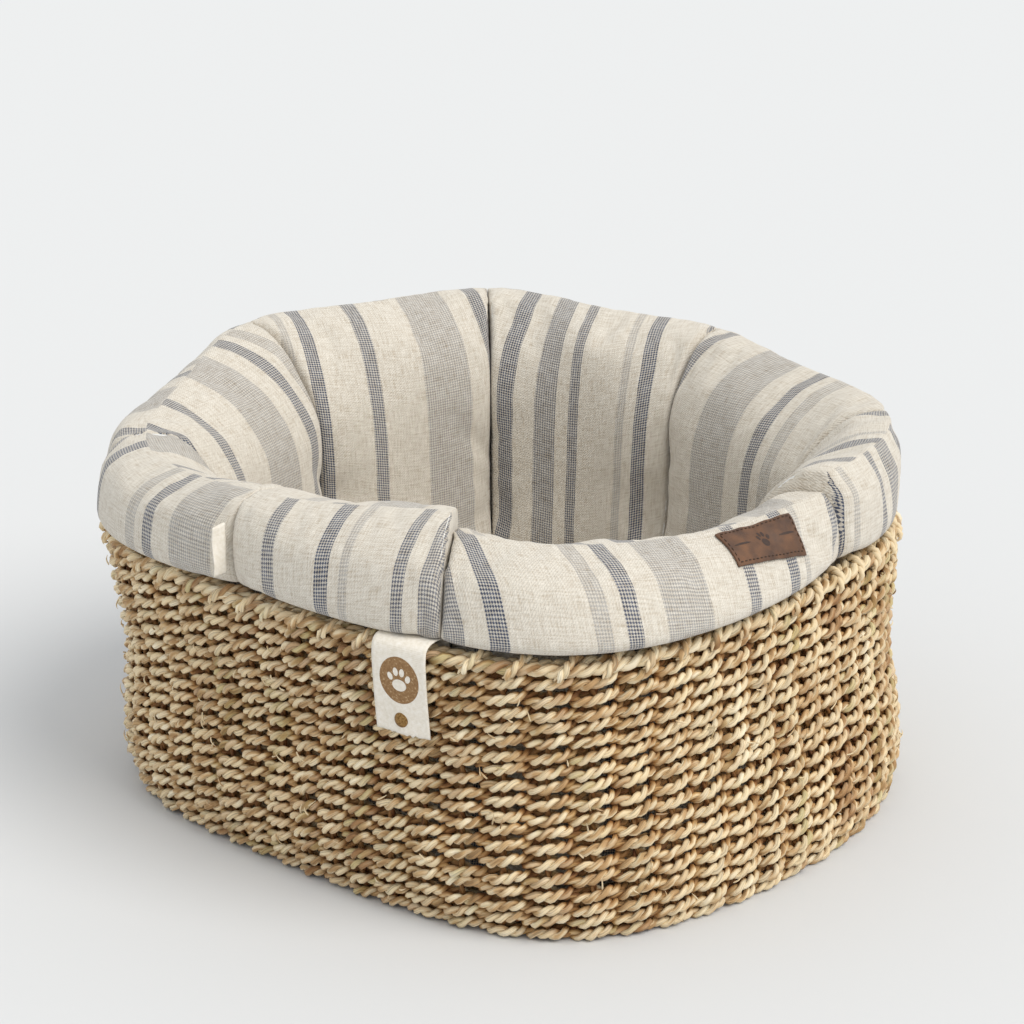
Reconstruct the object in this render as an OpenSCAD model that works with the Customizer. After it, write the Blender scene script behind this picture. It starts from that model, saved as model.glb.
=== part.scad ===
// Twined seagrass pet basket with a lift-out padded insert and a loose zipped seat cushion.
// Frame: +Z up, +X to the right and +Y to the back; origin at the middle of the base's underside.

/* [Basket] */
// Height of the woven wall up to the top of its last twined row
wall_h = 184; // [150:1:220]
// Number of twined rows in the wall
rows = 18; // [14:1:20]
// Number of upright stakes
stakes = 60; // [40:4:72]
// Thickness of the wall, from the outer strand to the inner one
wall_t = 20; // [16:0.5:24]
// Radius of the four rounded corners, to the wall's middle line
corner_r = 272; // [240:1:300]
// How far the rim leans to the left of the base
lean = 8; // [0:1:14]
// How far the wall draws in at its waist
waist = 6; // [0:0.5:10]
// How far the wall tucks in at the floor
heel = 9; // [0:0.5:12]
// Height of the rope border that finishes the rim
border_h = 10; // [8:0.5:14]
// Thickness of the twined base
base_t = 20; // [16:0.5:24]

/* [Bolster] */
// Space between the wall and the bolster
bolster_gap = 4; // [3.5:0.5:6]
// Thickness of the cover fabric
cloth_t = 1.6; // [1.2:0.1:2]
// Fall of the crest at the corner seams
seam_dip = 8; // [0:1:14]
// How far a pad draws in at its corner seams
seam_pinch = 9; // [4:0.5:12]

/* [Seat cushion] */
// Thickness of the loose seat cushion
seat_t = 58; // [40:1:70]
// Space between the seat cushion and the bolster
seat_gap = 4; // [2:0.5:8]
// Length of the zip in the underside of the seat cushion
zip_len = 230; // [180:5:260]
// Depth of the placket that covers the zip
zip_depth = 12; // [8:1:16]

/* [Labels] */
// Width of the cotton tag that is folded over the rim
tag_w = 40; // [25:1:45]
// Length of the tag's outer leg
tag_drop = 62; // [45:1:70]
// Length of the leather patch
patch_len = 68; // [60:1:90]

/* [Hidden] */
// The four soft sides: the direction each one faces, then its distance from the middle at the floor and at
// the rim. The front left one has been pushed in by use.
SIDES = [[45, 268, 268], [135, 300, 300], [232, 222, 222], [318, 275, 246]];
softness = 10;
// Shift of the outline that sets the whole object centred on the origin
CENTRE = [3.2, -5.7];
// Height of the bolster's crest seam, and how far it leans out, one value every 45 degrees from +X.
// Each pad's crest runs straighter than the wall, so its middle lies further in.
CREST_H = [266, 280, 290, 284, 256, 262, 270, 262];
CREST_LEAN = [20, 12, 11, 30, 4, 9, -26, -4];
PAD_PULL = [14, 22, 20, 12, 4, 0, 0, 4];
// How far the bolster reaches out over the rim, against its plain section, one value every 45 degrees
REACH_TRIM = [-12, -5, 0, 0, 5, 2, 0, -6];
// How much lower each pad lies than the crest curve; the long front one is pressed down by use
PAD_DROP = [0, 0, 0, 0, 0, 0, 14, 0];
// Angles of the bolster's corner seams
SEAMS = [4, 48, 93, 136, 180, 221, 261, 334];
// Outer and inner half of the bolster's section, from the crest seam down. Each point is the offset from the
// throat, then the height over the ledge: a share of the crest's when positive, or millimetres when negative.
OUTER_HALF = [[0, 1], [17, 0.93], [31, 0.72], [37, 0.45], [29, 0.18], [0, 0], [0, -90], [-1, -150],
              [-10, -174]];
INNER_HALF = [[0, 1], [-26, 0.94], [-44, 0.72], [-54, 0.38], [-58, 0.06], [-61, -50], [-66, -100],
              [-67, -145], [-54, -174]];
section_mid = -16;
PAD_SLICES = 6;
LONG_PAD = 6;
STAKE_STEPS = 9;
EDGE_ROUNDS = 3;

pitch = wall_h / rows;
rim_h = wall_h + border_h;
stake_t = 3.6;
window_t = 8.4;
spoke_t = 6;
round_r = 180;
liner_t = 2;
bolster_z0 = base_t + 1 + liner_t;
ledge_z = rim_h + 3.5;
seat_z0 = bolster_z0 + 0.3;
fill_gap = 1.5;
seam_half = 0.03;
tag_angle = 256;
tag_t = 1;
// The wall is not square to its radius at the tag, so the tag turns to lie flat on it
tag_facing = 238;
stud_z = rim_h - 50;
stud_r = 1.5;
patch_angle = 314;
patch_t = 1.4;
zip_y = 70;
placket_w = 26;
coil_z = seat_z0 + zip_depth - 0.7;
pivot_z = coil_z - 4.4;
slider_x = -zip_len / 2 + 12;
seagrass = "burlywood";
linen = "antiquewhite";

ROW_NAMES = [for (i = [1:rows]) str("weft_row_", i < 10 ? "0" : "", i)];
INNER_NAMES = [for (i = [1:8]) str("inner_panel_", i)];
OUTER_NAMES = [for (i = [1:8]) str("outer_panel_", i)];

// ---- outline of the soft wall ----

// Smooth periodic curve through eight values, one every 45 degrees
function ring(v, a) =
    let (s = ((a % 360) + 360) % 360 / 45, i = floor(s), t = s - i,
         p0 = v[(i + 7) % 8], p1 = v[i % 8], p2 = v[(i + 1) % 8], p3 = v[(i + 2) % 8])
    0.5 * (2 * p1 + (p2 - p0) * t + (2 * p0 - 5 * p1 + 4 * p2 - p3) * pow(t, 2)
        + (3 * p1 - p0 - 3 * p2 + p3) * pow(t, 3));

function total(v, i = 0) = i < len(v) ? v[i] + total(v, i + 1) : 0;

// Radius of a circle that is flattened softly along the four sides; "up" is 0 at the floor and 1 at the rim
function soft_square(a, up) =
    pow(pow(corner_r, -softness)
        + total([for (side = SIDES)
            pow(max(cos(a - side[0]), 0) / (side[1] + (side[2] - side[1]) * up), softness)]), -1 / softness);

// Radius of the wall's middle line at an angle and a height
function wall_r(a, z) =
    let (up = z / wall_h, low = max(1 - z / 36, 0))
    soft_square(a, up) + lean * (0.5 - up) * cos(a) + CENTRE * spoke(a)
    - waist * pow(sin(180 * min(max((z - 45) / 130, 0), 1)), 2)
    - heel * low * low;

// Radius of the straight way that the wall leaves for the insert
function throat(a) = min([for (z = [base_t:10:rim_h]) wall_r(a, z)]) - wall_t / 2 - bolster_gap;

function spoke(a) = [cos(a), sin(a)];
function outline(z, off) =
    [for (k = [0:stakes - 1]) let (a = 360 * k / stakes) (wall_r(a, z) + off) * spoke(a)];

// ---- basket ----

module band(z, h, outer, inner) {
    translate([0, 0, z]) linear_extrude(h) difference() {
        polygon(outline(z + h / 2, outer));
        polygon(outline(z + h / 2, inner));
    }
}

// One twined row: an outer and an inner strand that cross between the stakes
module weft_row(i) {
    z = pitch * (i - 1);
    gap = 360 / stakes;
    color(seagrass) difference() {
        band(z, pitch, wall_t / 2, -wall_t / 2);
        translate([0, 0, z - 1]) linear_extrude(pitch + 2)
            for (k = [0:stakes - 1]) {
                a = gap * k;
                r = wall_r(a, z + pitch / 2);
                rotate(a) translate([r, 0]) square([window_t, 9], center = true);
            }
        if (abs(pitch * (i - 0.5) - stud_z) < pitch) tag_post(stud_r + 0.5);
    }
}

module wall_stakes() {
    heights = [for (j = [0:STAKE_STEPS]) 1 + (wall_h - 1.5) * pow(j / STAKE_STEPS, 1.4)];
    color(seagrass) for (k = [0:stakes - 1]) {
        a = 360 * k / stakes;
        rotate(a) rotate([90, 0, 0]) translate([0, 0, -stake_t / 2]) linear_extrude(stake_t)
            polygon(concat(
                [for (z = heights) [wall_r(a, z) + stake_t / 2, z]],
                [for (z = reverse(heights)) [wall_r(a, z) - stake_t / 2, z]]
            ));
    }
}

module rim_border() {
    color(seagrass) band(wall_h, border_h, wall_t / 2 - 1.5, -(wall_t / 2 - 1.5));
}

// Stake ends folded over the border and tucked in beside it
module rim_loops() {
    half = wall_t / 2;
    color(seagrass) for (k = [0:stakes - 1]) {
        a = 360 * (k + 0.5) / stakes;
        r = wall_r(a, wall_h + border_h / 2);
        if (abs(((a - tag_angle + 540) % 360) - 180) > 6)
            rotate(a) translate([r, 0, wall_h + 0.4]) rotate([90, 0, 0])
                linear_extrude(6, center = true) difference() {
                    translate([-half - 2.4, 0]) square([2 * half + 4.8, border_h + 2.4]);
                    translate([-half, -1]) square([2 * half, border_h + 1]);
                }
    }
}

// Twined rounds: circles in the middle, easing into the wall's outline towards the edge
module base_rounds(z) {
    layer = (base_t - spoke_t) / 2;
    color(seagrass) translate([0, 0, z]) {
        cylinder(h = layer, r = 9.8, $fn = 60);
        for (r = [10:10:round_r - 10]) linear_extrude(layer) difference() {
            circle(r + 9.8, $fn = 120);
            circle(r, $fn = 120);
        }
        for (j = [0:EDGE_ROUNDS - 1]) linear_extrude(layer) difference() {
            polygon(edge_round(j + 1, 0.4));
            polygon(edge_round(j, 0));
        }
    }
}

function edge_round(j, gap) =
    [for (p = outline(pitch / 2, -wall_t / 2))
        let (r = round_r + (norm(p) - round_r) * j / EDGE_ROUNDS - gap) r * p / norm(p)];

module base_spokes() {
    color(seagrass) translate([0, 0, (base_t - spoke_t) / 2]) linear_extrude(spoke_t) {
        circle(30, $fn = 60);
        for (k = [0:2:stakes - 1]) {
            a = 360 * k / stakes;
            rotate(a) translate([20, -2]) square([wall_r(a, pitch / 2) - wall_t / 2 - 22, 4]);
        }
    }
}

// ---- rim tag ----

module at_tag() {
    translate(wall_r(tag_angle, rim_h) * spoke(tag_angle)) rotate(tag_facing) children();
}

tag_out = wall_t / 2 + 2.2;
tag_in = wall_t / 2 + 4.2;
// How far the outer leg leans in at its lower end, to follow the wall
tag_tuck = 4;

// How far out the press stud's cap sits, just off the leaning leg
stud_seat = tag_out + tag_t - tag_tuck * (rim_h - 13 - stud_z) / (tag_drop - 14) + 0.5;

module rim_tag() {
    top = rim_h + 1;
    color("ivory") difference() {
        at_tag() rotate([90, 0, 0]) linear_extrude(tag_w, center = true) difference() {
            polygon([
                [-tag_in - tag_t, top - tag_drop + 10], [-tag_in - tag_t, top],
                [-tag_in + 2, top + tag_t + 2], [tag_out - 2, top + tag_t + 2],
                [tag_out + tag_t, top], [tag_out + tag_t, top - 14],
                [tag_out + tag_t - tag_tuck, top - tag_drop]
            ]);
            polygon([[-tag_in, top - tag_drop - 1], [-tag_in, top], [-tag_in + 2.5, top + 2],
                     [tag_out - 2.5, top + 2], [tag_out, top], [tag_out, top - 14],
                     [tag_out - tag_tuck, top - tag_drop], [tag_out - tag_tuck, top - tag_drop - 1]]);
        }
        tag_post(stud_r + 0.1);
    }
}

module tag_post(r) {
    at_tag() translate([-tag_in - tag_t - 1, 0, stud_z]) rotate([0, 90, 0])
        cylinder(h = tag_in + stud_seat + tag_t + 2, r = r, $fn = 32);
}

// Press stud: a domed cap outside, a washer inside and the post between
module tag_stud() {
    color("peru") {
        tag_post(stud_r);
        at_tag() translate([stud_seat, 0, stud_z]) rotate([0, 90, 0])
            cylinder(h = 1.8, r1 = 5.2, r2 = 4, $fn = 40);
        at_tag() translate([-tag_in - tag_t - 1, 0, stud_z]) rotate([0, 90, 0])
            cylinder(h = 1, r = 4.5, $fn = 40);
    }
}

// ---- bolster ----

// Share of a pad's fullness at angle a: 0 at its corner seams, 1 in the middle
function fullness(i, a) =
    let (a0 = SEAMS[i], a1 = seam_after(i), t = (a - a0) / (a1 - a0))
    pow(sin(180 * min(max(t, 0), 1)), 0.5);
function seam_after(i) = i < 7 ? SEAMS[i + 1] : SEAMS[0] + 360;

function crest(i, a) = ring(CREST_H, a) - seam_dip * (1 - fullness(i, a)) - PAD_DROP[i];

// A point of the section at angle a, drawn in by "off" from the cover's outside
function section_point(i, a, p, off) =
    let (share = max(p[1], 0),
         lean = ring(CREST_LEAN, a) - PAD_PULL[i] * pow(fullness(i, a), 4),
         z = ledge_z + (p[1] > 0 ? p[1] * (crest(i, a) - ledge_z) : p[1]),
         trim = p[0] > 0 && p[1] > 0 ? ring(REACH_TRIM, a) : 0,
         d = section_mid + (p[0] - section_mid) * (1 - seam_pinch / 60 * (1 - fullness(i, a))) + trim,
         side = p[0] == 0 && p[1] == 1 ? 0 : (p[0] > section_mid ? -off : off))
    [throat(a) + d + lean * share * share + side,
     max(z - (share > 0.9 ? off : 0), bolster_z0 + off)];

function slice(i, a, half, off) =
    [for (p = half) let (q = section_point(i, a, p, off)) [q[0] * cos(a), q[0] * sin(a), q[1]]];

// Closed solid through a list of slices, each a closed loop of as many points. The two ends are filled with
// strips between the loop's first half and its second, which run side by side in a sheet.
module loft(slices) {
    n = len(slices[0]);
    m = len(slices);
    last = (m - 1) * n;
    polyhedron(
        points = [for (s = slices) each s],
        faces = concat(
            [for (k = [0:m - 2]) for (j = [0:n - 1]) let (j1 = (j + 1) % n)
                each [[k * n + j, k * n + j1, (k + 1) * n + j1],
                      [k * n + j, (k + 1) * n + j1, (k + 1) * n + j]]],
            [for (j = [0:n / 2 - 2])
                each [[j, n - 2 - j, j + 1], [j, n - 1 - j, n - 2 - j]]],
            [for (j = [0:n / 2 - 2])
                each [[last + j, last + j + 1, last + n - 2 - j],
                      [last + j, last + n - 2 - j, last + n - 1 - j]]]
        ),
        convexity = 6
    );
}

function reverse(v) = [for (i = [len(v) - 1:-1:0]) v[i]];
function pad_angles(i) =
    let (a0 = SEAMS[i] + seam_half, a1 = seam_after(i) - seam_half, n = slices_of(i))
    [for (k = [0:n]) a0 + (a1 - a0) * k / n];
function slices_of(i) = i == LONG_PAD ? PAD_SLICES + 3 : PAD_SLICES;

// One half of a pad's cover, as a sheet between the section and the section drawn in by the cloth's thickness
module cover_panel(i, half) {
    color(linen) loft([for (a = pad_angles(i))
        concat(slice(i, a, half, 0), reverse(slice(i, a, half, cloth_t)))]);
}

function below_crest(half) = [for (k = [1:len(half) - 1]) half[k]];

module bolster_filling() {
    inset = cloth_t + fill_gap;
    color("white") for (i = [0:7])
        loft([for (a = pad_angles(i))
            concat(slice(i, a, below_crest(OUTER_HALF), inset),
                   reverse(slice(i, a, below_crest(INNER_HALF), inset)))]);
}

module insert_liner() {
    color(linen) translate([0, 0, base_t + 1]) linear_extrude(liner_t)
        polygon([for (k = [0:stakes - 1]) let (a = 360 * k / stakes) (throat(a) - 11) * spoke(a)]);
}

// Leather patch, bent over the long pad just outside its crest
module leather_patch() {
    half_a = patch_len / 2 / throat(patch_angle) * 180 / PI;
    rise = [0.972, 0.87, 0.74];
    reach = [12, 22, 30];
    color("saddlebrown") loft([for (a = [patch_angle - half_a:half_a / 2:patch_angle + half_a + 0.01]) concat(
        [for (j = [0:2]) patch_point(a, [reach[j], rise[j]], 0.8 + patch_t)],
        [for (j = [2:-1:0]) patch_point(a, [reach[j], rise[j]], 0.8)]
    )]);
}

function patch_point(a, p, lift) =
    let (q = section_point(LONG_PAD, a, p, 0), r = q[0] + 0.6 * lift)
    [r * cos(a), r * sin(a), q[1] + 0.8 * lift];

// Folded ribbon that is caught in the front left corner seam
module seam_label() {
    a = SEAMS[5];
    color("ivory") rotate(a) translate([throat(a) + 34.2, -0.8, ledge_z + 12]) cube([8, 1.6, 34]);
}

// ---- seat cushion ----

function seat_outline(off) =
    [for (k = [0:47]) let (a = 7.5 * k) (throat(a) - 67 - seat_gap - off) * spoke(a)];

module seat_cover_top() {
    z = seat_z0 + seat_t / 2;
    color(linen) translate([0, 0, z]) difference() {
        linear_extrude(seat_t / 2) polygon(seat_outline(0));
        translate([0, 0, -1]) linear_extrude(seat_t / 2 + 1 - cloth_t) polygon(seat_outline(cloth_t));
    }
}

// Bottom of the seat's cover, with a placket that hides the zip
module seat_cover_bottom() {
    color(linen) difference() {
        union() {
            difference() {
                translate([0, 0, seat_z0]) linear_extrude(seat_t / 2) polygon(seat_outline(0));
                translate([0, 0, seat_z0 + cloth_t]) linear_extrude(seat_t / 2)
                    polygon(seat_outline(cloth_t));
            }
            placket(cloth_t, zip_depth + cloth_t, 0);
        }
        placket(0, zip_depth, 1);
        translate([-zip_len / 2 - 4, zip_y - 2, seat_z0]) cube([zip_len + 8, 4, zip_depth + 2 * cloth_t]);
    }
}

module placket(grow, h, below) {
    translate([-zip_len / 2 - 8 - grow, zip_y - placket_w / 2 - grow, seat_z0 - below])
        cube([zip_len + 16 + 2 * grow, placket_w + 2 * grow, h + below]);
}

module seat_filling() {
    color("white") translate([0, 0, seat_z0 + zip_depth + 2 * cloth_t])
        linear_extrude(seat_t - zip_depth - 3 * cloth_t - fill_gap) polygon(seat_outline(cloth_t + fill_gap));
}

module zip_tape() {
    color("dimgray") for (side = [-1, 1])
        translate([-zip_len / 2 - 6, zip_y + side * 6.4 - 5, seat_z0 + zip_depth - 0.8])
            cube([zip_len + 12, 10, 0.8]);
}

module along_zip(r, len) {
    translate([0, zip_y, coil_z]) rotate([0, 90, 0]) cylinder(h = len, r = r, center = true, $fn = 24);
}

module zip_coil() {
    color("silver") along_zip(1.3, zip_len);
}

// Stops that are crimped over the coil's two ends
module zip_stops() {
    color("silver") for (side = [-1, 1]) translate([side * (zip_len / 2 + 2), zip_y, coil_z])
        cube([3, 2.4, 2.4], center = true);
}

// Slider under the coil, with an eye for its pull
module zip_slider() {
    color("darkgoldenrod") difference() {
        union() {
            translate([slider_x - 5, zip_y - 3.5, coil_z - 3]) cube([10, 7, 2.6]);
            translate([slider_x - 1.6, zip_y - 1.1, pivot_z - 1.5])
                cube([3.2, 2.2, coil_z - 3 - pivot_z + 1.6]);
        }
        along_zip(1.5, zip_len);
        translate([slider_x, zip_y, pivot_z]) rotate([90, 0, 0])
            cylinder(h = 4, r = 0.8, center = true, $fn = 32);
    }
}

// Pull: a bar through the slider's eye, two arms and a tab
module zip_pull() {
    color("darkgoldenrod") translate([slider_x, zip_y, pivot_z]) {
        rotate([90, 0, 0]) cylinder(h = 3.4, r = 0.75, center = true, $fn = 32);
        for (side = [-1, 1]) translate([-0.75, side * 2.1 - 0.7, -0.5]) cube([5, 1.4, 1]);
        translate([4, -2.8, -0.5]) cube([8, 5.6, 1]);
    }
}

// ---- nodes ----

base_rounds(0);  // base_rounds_lower
base_spokes();
base_rounds((base_t + spoke_t) / 2);  // base_rounds_upper
wall_stakes();
for (i = [1:rows]) weft_row(i);
rim_border();
rim_loops();
rim_tag();
tag_stud();
insert_liner();
for (i = [0:7]) cover_panel(i, INNER_HALF);
for (i = [0:7]) cover_panel(i, OUTER_HALF);
bolster_filling();
leather_patch();
seam_label();
seat_cover_top();
seat_cover_bottom();
seat_filling();
zip_tape();
zip_coil();
zip_stops();
zip_slider();
zip_pull();
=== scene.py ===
"""Twined seagrass pet basket with a padded linen insert: one operator for each piece or group of pieces."""

import math

import bmesh
import bpy
import numpy as np
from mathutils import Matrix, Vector, noise
from mathutils.bvhtree import BVHTree


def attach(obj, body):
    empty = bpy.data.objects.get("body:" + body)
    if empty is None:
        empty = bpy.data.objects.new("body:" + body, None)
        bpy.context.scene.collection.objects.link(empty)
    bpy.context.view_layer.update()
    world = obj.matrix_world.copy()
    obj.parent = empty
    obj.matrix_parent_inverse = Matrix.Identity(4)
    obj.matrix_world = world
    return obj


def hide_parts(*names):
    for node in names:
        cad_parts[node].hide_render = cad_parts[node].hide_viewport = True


bl_info = {
    "name": "Pet Basket",
    "version": (1, 0, 0),
    "blender": (4, 5, 0),
    "location": "3D View > Sidebar > Pet Basket",
    "description": "Builds a twined seagrass pet basket with a padded insert and a seat cushion",
    "category": "Add Mesh",
}

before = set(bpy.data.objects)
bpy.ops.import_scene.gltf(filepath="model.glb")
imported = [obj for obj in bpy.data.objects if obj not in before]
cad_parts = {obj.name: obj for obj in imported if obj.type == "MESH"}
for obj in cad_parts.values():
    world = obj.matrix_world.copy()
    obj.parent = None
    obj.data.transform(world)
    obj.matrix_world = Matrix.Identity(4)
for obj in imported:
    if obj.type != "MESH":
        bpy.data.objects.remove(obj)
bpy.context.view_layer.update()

MM = 0.001

# ---- sizes of the basket, in millimetres, as the frame has them ----

ROWS = 18
STAKES = 60
WALL_H = 184.0
BORDER_H = 10.0
RIM_H = WALL_H + BORDER_H
WALL_T = 20.0
BASE_T = 20.0
PITCH = WALL_H / ROWS
CORNER_R = 272.0
SOFTNESS = 10
CENTRE = (3.2, -5.7)
LEAN = 8.0
WAIST = 6.0
HEEL = 9.0
SIDES = ((45, 268, 268), (135, 300, 300), (232, 222, 222), (318, 275, 246))

BOLSTER_GAP = 4.0
LEDGE_Z = RIM_H + 3.5
BOLSTER_Z0 = BASE_T + 3.0
CREST_H = (266, 280, 290, 284, 256, 262, 270, 262)
CREST_LEAN = (20, 12, 11, 30, 4, 9, -26, -4)
PAD_PULL = (14, 22, 20, 12, 4, 0, 0, 4)
REACH_TRIM = (-12, -5, 0, 0, 5, 2, 0, -6)
PAD_DROP = (0, 0, 0, 0, 0, 0, 14, 0)
SEAMS = (4, 48, 93, 136, 180, 221, 261, 334)
OUTER_HALF = (
    (0, 1), (17, 0.93), (31, 0.72), (37, 0.45), (37, 0.2), (29, 0.03), (10, 0.0), (1, -3), (0, -16), (0, -90),
    (-1, -150), (-10, -174),
)
INNER_HALF = (
    (0, 1), (-26, 0.94), (-44, 0.72), (-54, 0.38), (-58, 0.06), (-61, -50), (-66, -100), (-67, -145), (-54, -174),
)
SECTION_MID = -16.0
LONG_PAD = 6

TAG_ANGLE = 256.0
TAG_FACING = 238.0
TAG_W = 40.0
STUD_Z = 144.0
PATCH_ANGLE = 314.0
PATCH_LEN = 68.0
PATCH_W = 27.0

SEAT_Z0 = BOLSTER_Z0 + 0.3
SEAT_T = 58.0
SEAT_INSET = 71.0
ZIP_LEN = 230.0
ZIP_Y = 70.0
ZIP_DEPTH = 12.0
PLACKET_W = 26.0
COIL_Z = SEAT_Z0 + ZIP_DEPTH - 0.7

# Between the base's two ropes, and from a cover's cloth in to its filling.
ROUND_STEP = 4.9
CORE_INSET = 2.5


def cosd(angle):
    return math.cos(math.radians(angle))


def sind(angle):
    return math.sin(math.radians(angle))


def clamp(x, low=0.0, high=1.0):
    return min(max(x, low), high)


def ease(x):
    x = clamp(x)
    return x * x * (3 - 2 * x)


def soft_square(angle, up):
    """Radius of a circle that is flattened softly along the basket's four sides."""
    total = CORNER_R**-SOFTNESS
    for facing, low, high in SIDES:
        total += (max(cosd(angle - facing), 0) / (low + (high - low) * up)) ** SOFTNESS
    return total ** (-1 / SOFTNESS)


def wall_r(angle, z):
    """Radius of the wall's middle line."""
    up = z / WALL_H
    low = max(1 - z / 36, 0)
    shift = CENTRE[0] * cosd(angle) + CENTRE[1] * sind(angle)
    draw = WAIST * sind(180 * clamp((z - 45) / 130)) ** 2 + HEEL * low * low
    return soft_square(angle, up) + LEAN * (0.5 - up) * cosd(angle) + shift - draw


THROAT = [
    min(wall_r(angle, z) for z in range(int(BASE_T), int(RIM_H) + 1, 10)) - WALL_T / 2 - BOLSTER_GAP
    for angle in range(360)
]


def throat(angle):
    """Radius of the straight way that the wall leaves for the insert."""
    whole = math.floor(angle)
    part = angle - whole
    return THROAT[whole % 360] * (1 - part) + THROAT[(whole + 1) % 360] * part


def ring(values, angle):
    """Smooth periodic curve through eight values, one every 45 degrees."""
    s = (angle % 360) / 45
    i = int(s)
    t = s - i
    p0, p1, p2, p3 = (values[(i + k) % 8] for k in (-1, 0, 1, 2))
    return 0.5 * (
        2 * p1 + (p2 - p0) * t + (2 * p0 - 5 * p1 + 4 * p2 - p3) * t * t + (3 * p1 - p0 - 3 * p2 + p3) * t**3
    )


def around(radius, angle, z):
    """A point in metres from a radius and a height in millimetres."""
    return Vector((radius * cosd(angle), radius * sind(angle), z)) * MM


# ---- settings ----


class RopeSettings(bpy.types.PropertyGroup):
    """Sizes and colours of the seagrass rope."""

    ply_r: bpy.props.FloatProperty(
        name="Ply radius", description="Radius of one ply of the weaving rope", default=0.0021, unit="LENGTH"
    )
    orbit: bpy.props.FloatProperty(
        name="Ply orbit", description="Distance of a ply from the rope's middle", default=0.0018, unit="LENGTH"
    )
    lay: bpy.props.FloatProperty(
        name="Lay length", description="Length of rope for one full twist", default=0.0165, unit="LENGTH"
    )
    straw: bpy.props.FloatVectorProperty(
        name="Straw", description="Colour of dry seagrass", default=(0.80, 0.66, 0.45), size=3, subtype="COLOR"
    )


class LinenSettings(bpy.types.PropertyGroup):
    """Fullness and colours of the cushions."""

    loft: bpy.props.FloatProperty(
        name="Loft", description="How far a pad may swell between its seams", default=0.013, unit="LENGTH"
    )
    cream: bpy.props.FloatVectorProperty(
        name="Cream", description="Ground colour of the linen", default=(0.70, 0.65, 0.565), size=3, subtype="COLOR"
    )
    navy: bpy.props.FloatVectorProperty(
        name="Navy", description="Colour of the dark stripes", default=(0.068, 0.082, 0.125), size=3, subtype="COLOR"
    )


class StudioSettings(bpy.types.PropertyGroup):
    """Backdrop and lights."""

    grey: bpy.props.FloatVectorProperty(
        name="Backdrop", description="Colour of the backdrop and its light", default=(0.831, 0.847, 0.855), size=3,
        subtype="COLOR"
    )
    floor: bpy.props.FloatProperty(name="Floor", description="Lightness of the floor", default=0.68, subtype="FACTOR")
    key: bpy.props.FloatProperty(name="Window light", description="Strength of the main light", default=1.9)


# ---- materials ----


def linear(hex_colour):
    """Linear colour from an sRGB hex value."""
    parts = [int(hex_colour[k : k + 2], 16) / 255 for k in (1, 3, 5)]
    return tuple(c / 12.92 if c <= 0.04045 else ((c + 0.055) / 1.055) ** 2.4 for c in parts) + (1.0,)


def add(tree, kind, inputs=None, **settings):
    """Adds a node, sets its properties, and fills its inputs with values or with other nodes' outputs."""
    made = tree.nodes.new(kind)
    for key, value in settings.items():
        setattr(made, key, value)
    for key, value in (inputs or {}).items():
        if isinstance(value, bpy.types.NodeSocket):
            tree.links.new(value, made.inputs[key])
        else:
            made.inputs[key].default_value = value
    return made


def stops(ramp_node, *colours, constant=False):
    """Fills a colour ramp with (position, colour) stops."""
    ramp = ramp_node.color_ramp
    ramp.interpolation = "CONSTANT" if constant else "LINEAR"
    while len(ramp.elements) < len(colours):
        ramp.elements.new(1.0)
    for element, (position, colour) in zip(ramp.elements, colours):
        element.position = position
        element.color = colour
    return ramp_node


def new_material(name):
    """An empty node material and its shader and output."""
    made = bpy.data.materials.new(name)
    made.use_nodes = True
    made.node_tree.nodes.clear()
    shader = add(made.node_tree, "ShaderNodeBsdfPrincipled")
    add(made.node_tree, "ShaderNodeOutputMaterial", {"Surface": shader.outputs["BSDF"]})
    return made, made.node_tree, shader


def wire(tree, shader, **sockets):
    """Links or sets a shader's sockets; an underscore stands for a space."""
    for name, value in sockets.items():
        socket = shader.inputs[name.replace("_", " ")]
        if isinstance(value, bpy.types.NodeSocket):
            tree.links.new(value, socket)
        else:
            socket.default_value = value


def grey(value):
    return (value, value, value, 1.0)


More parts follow.
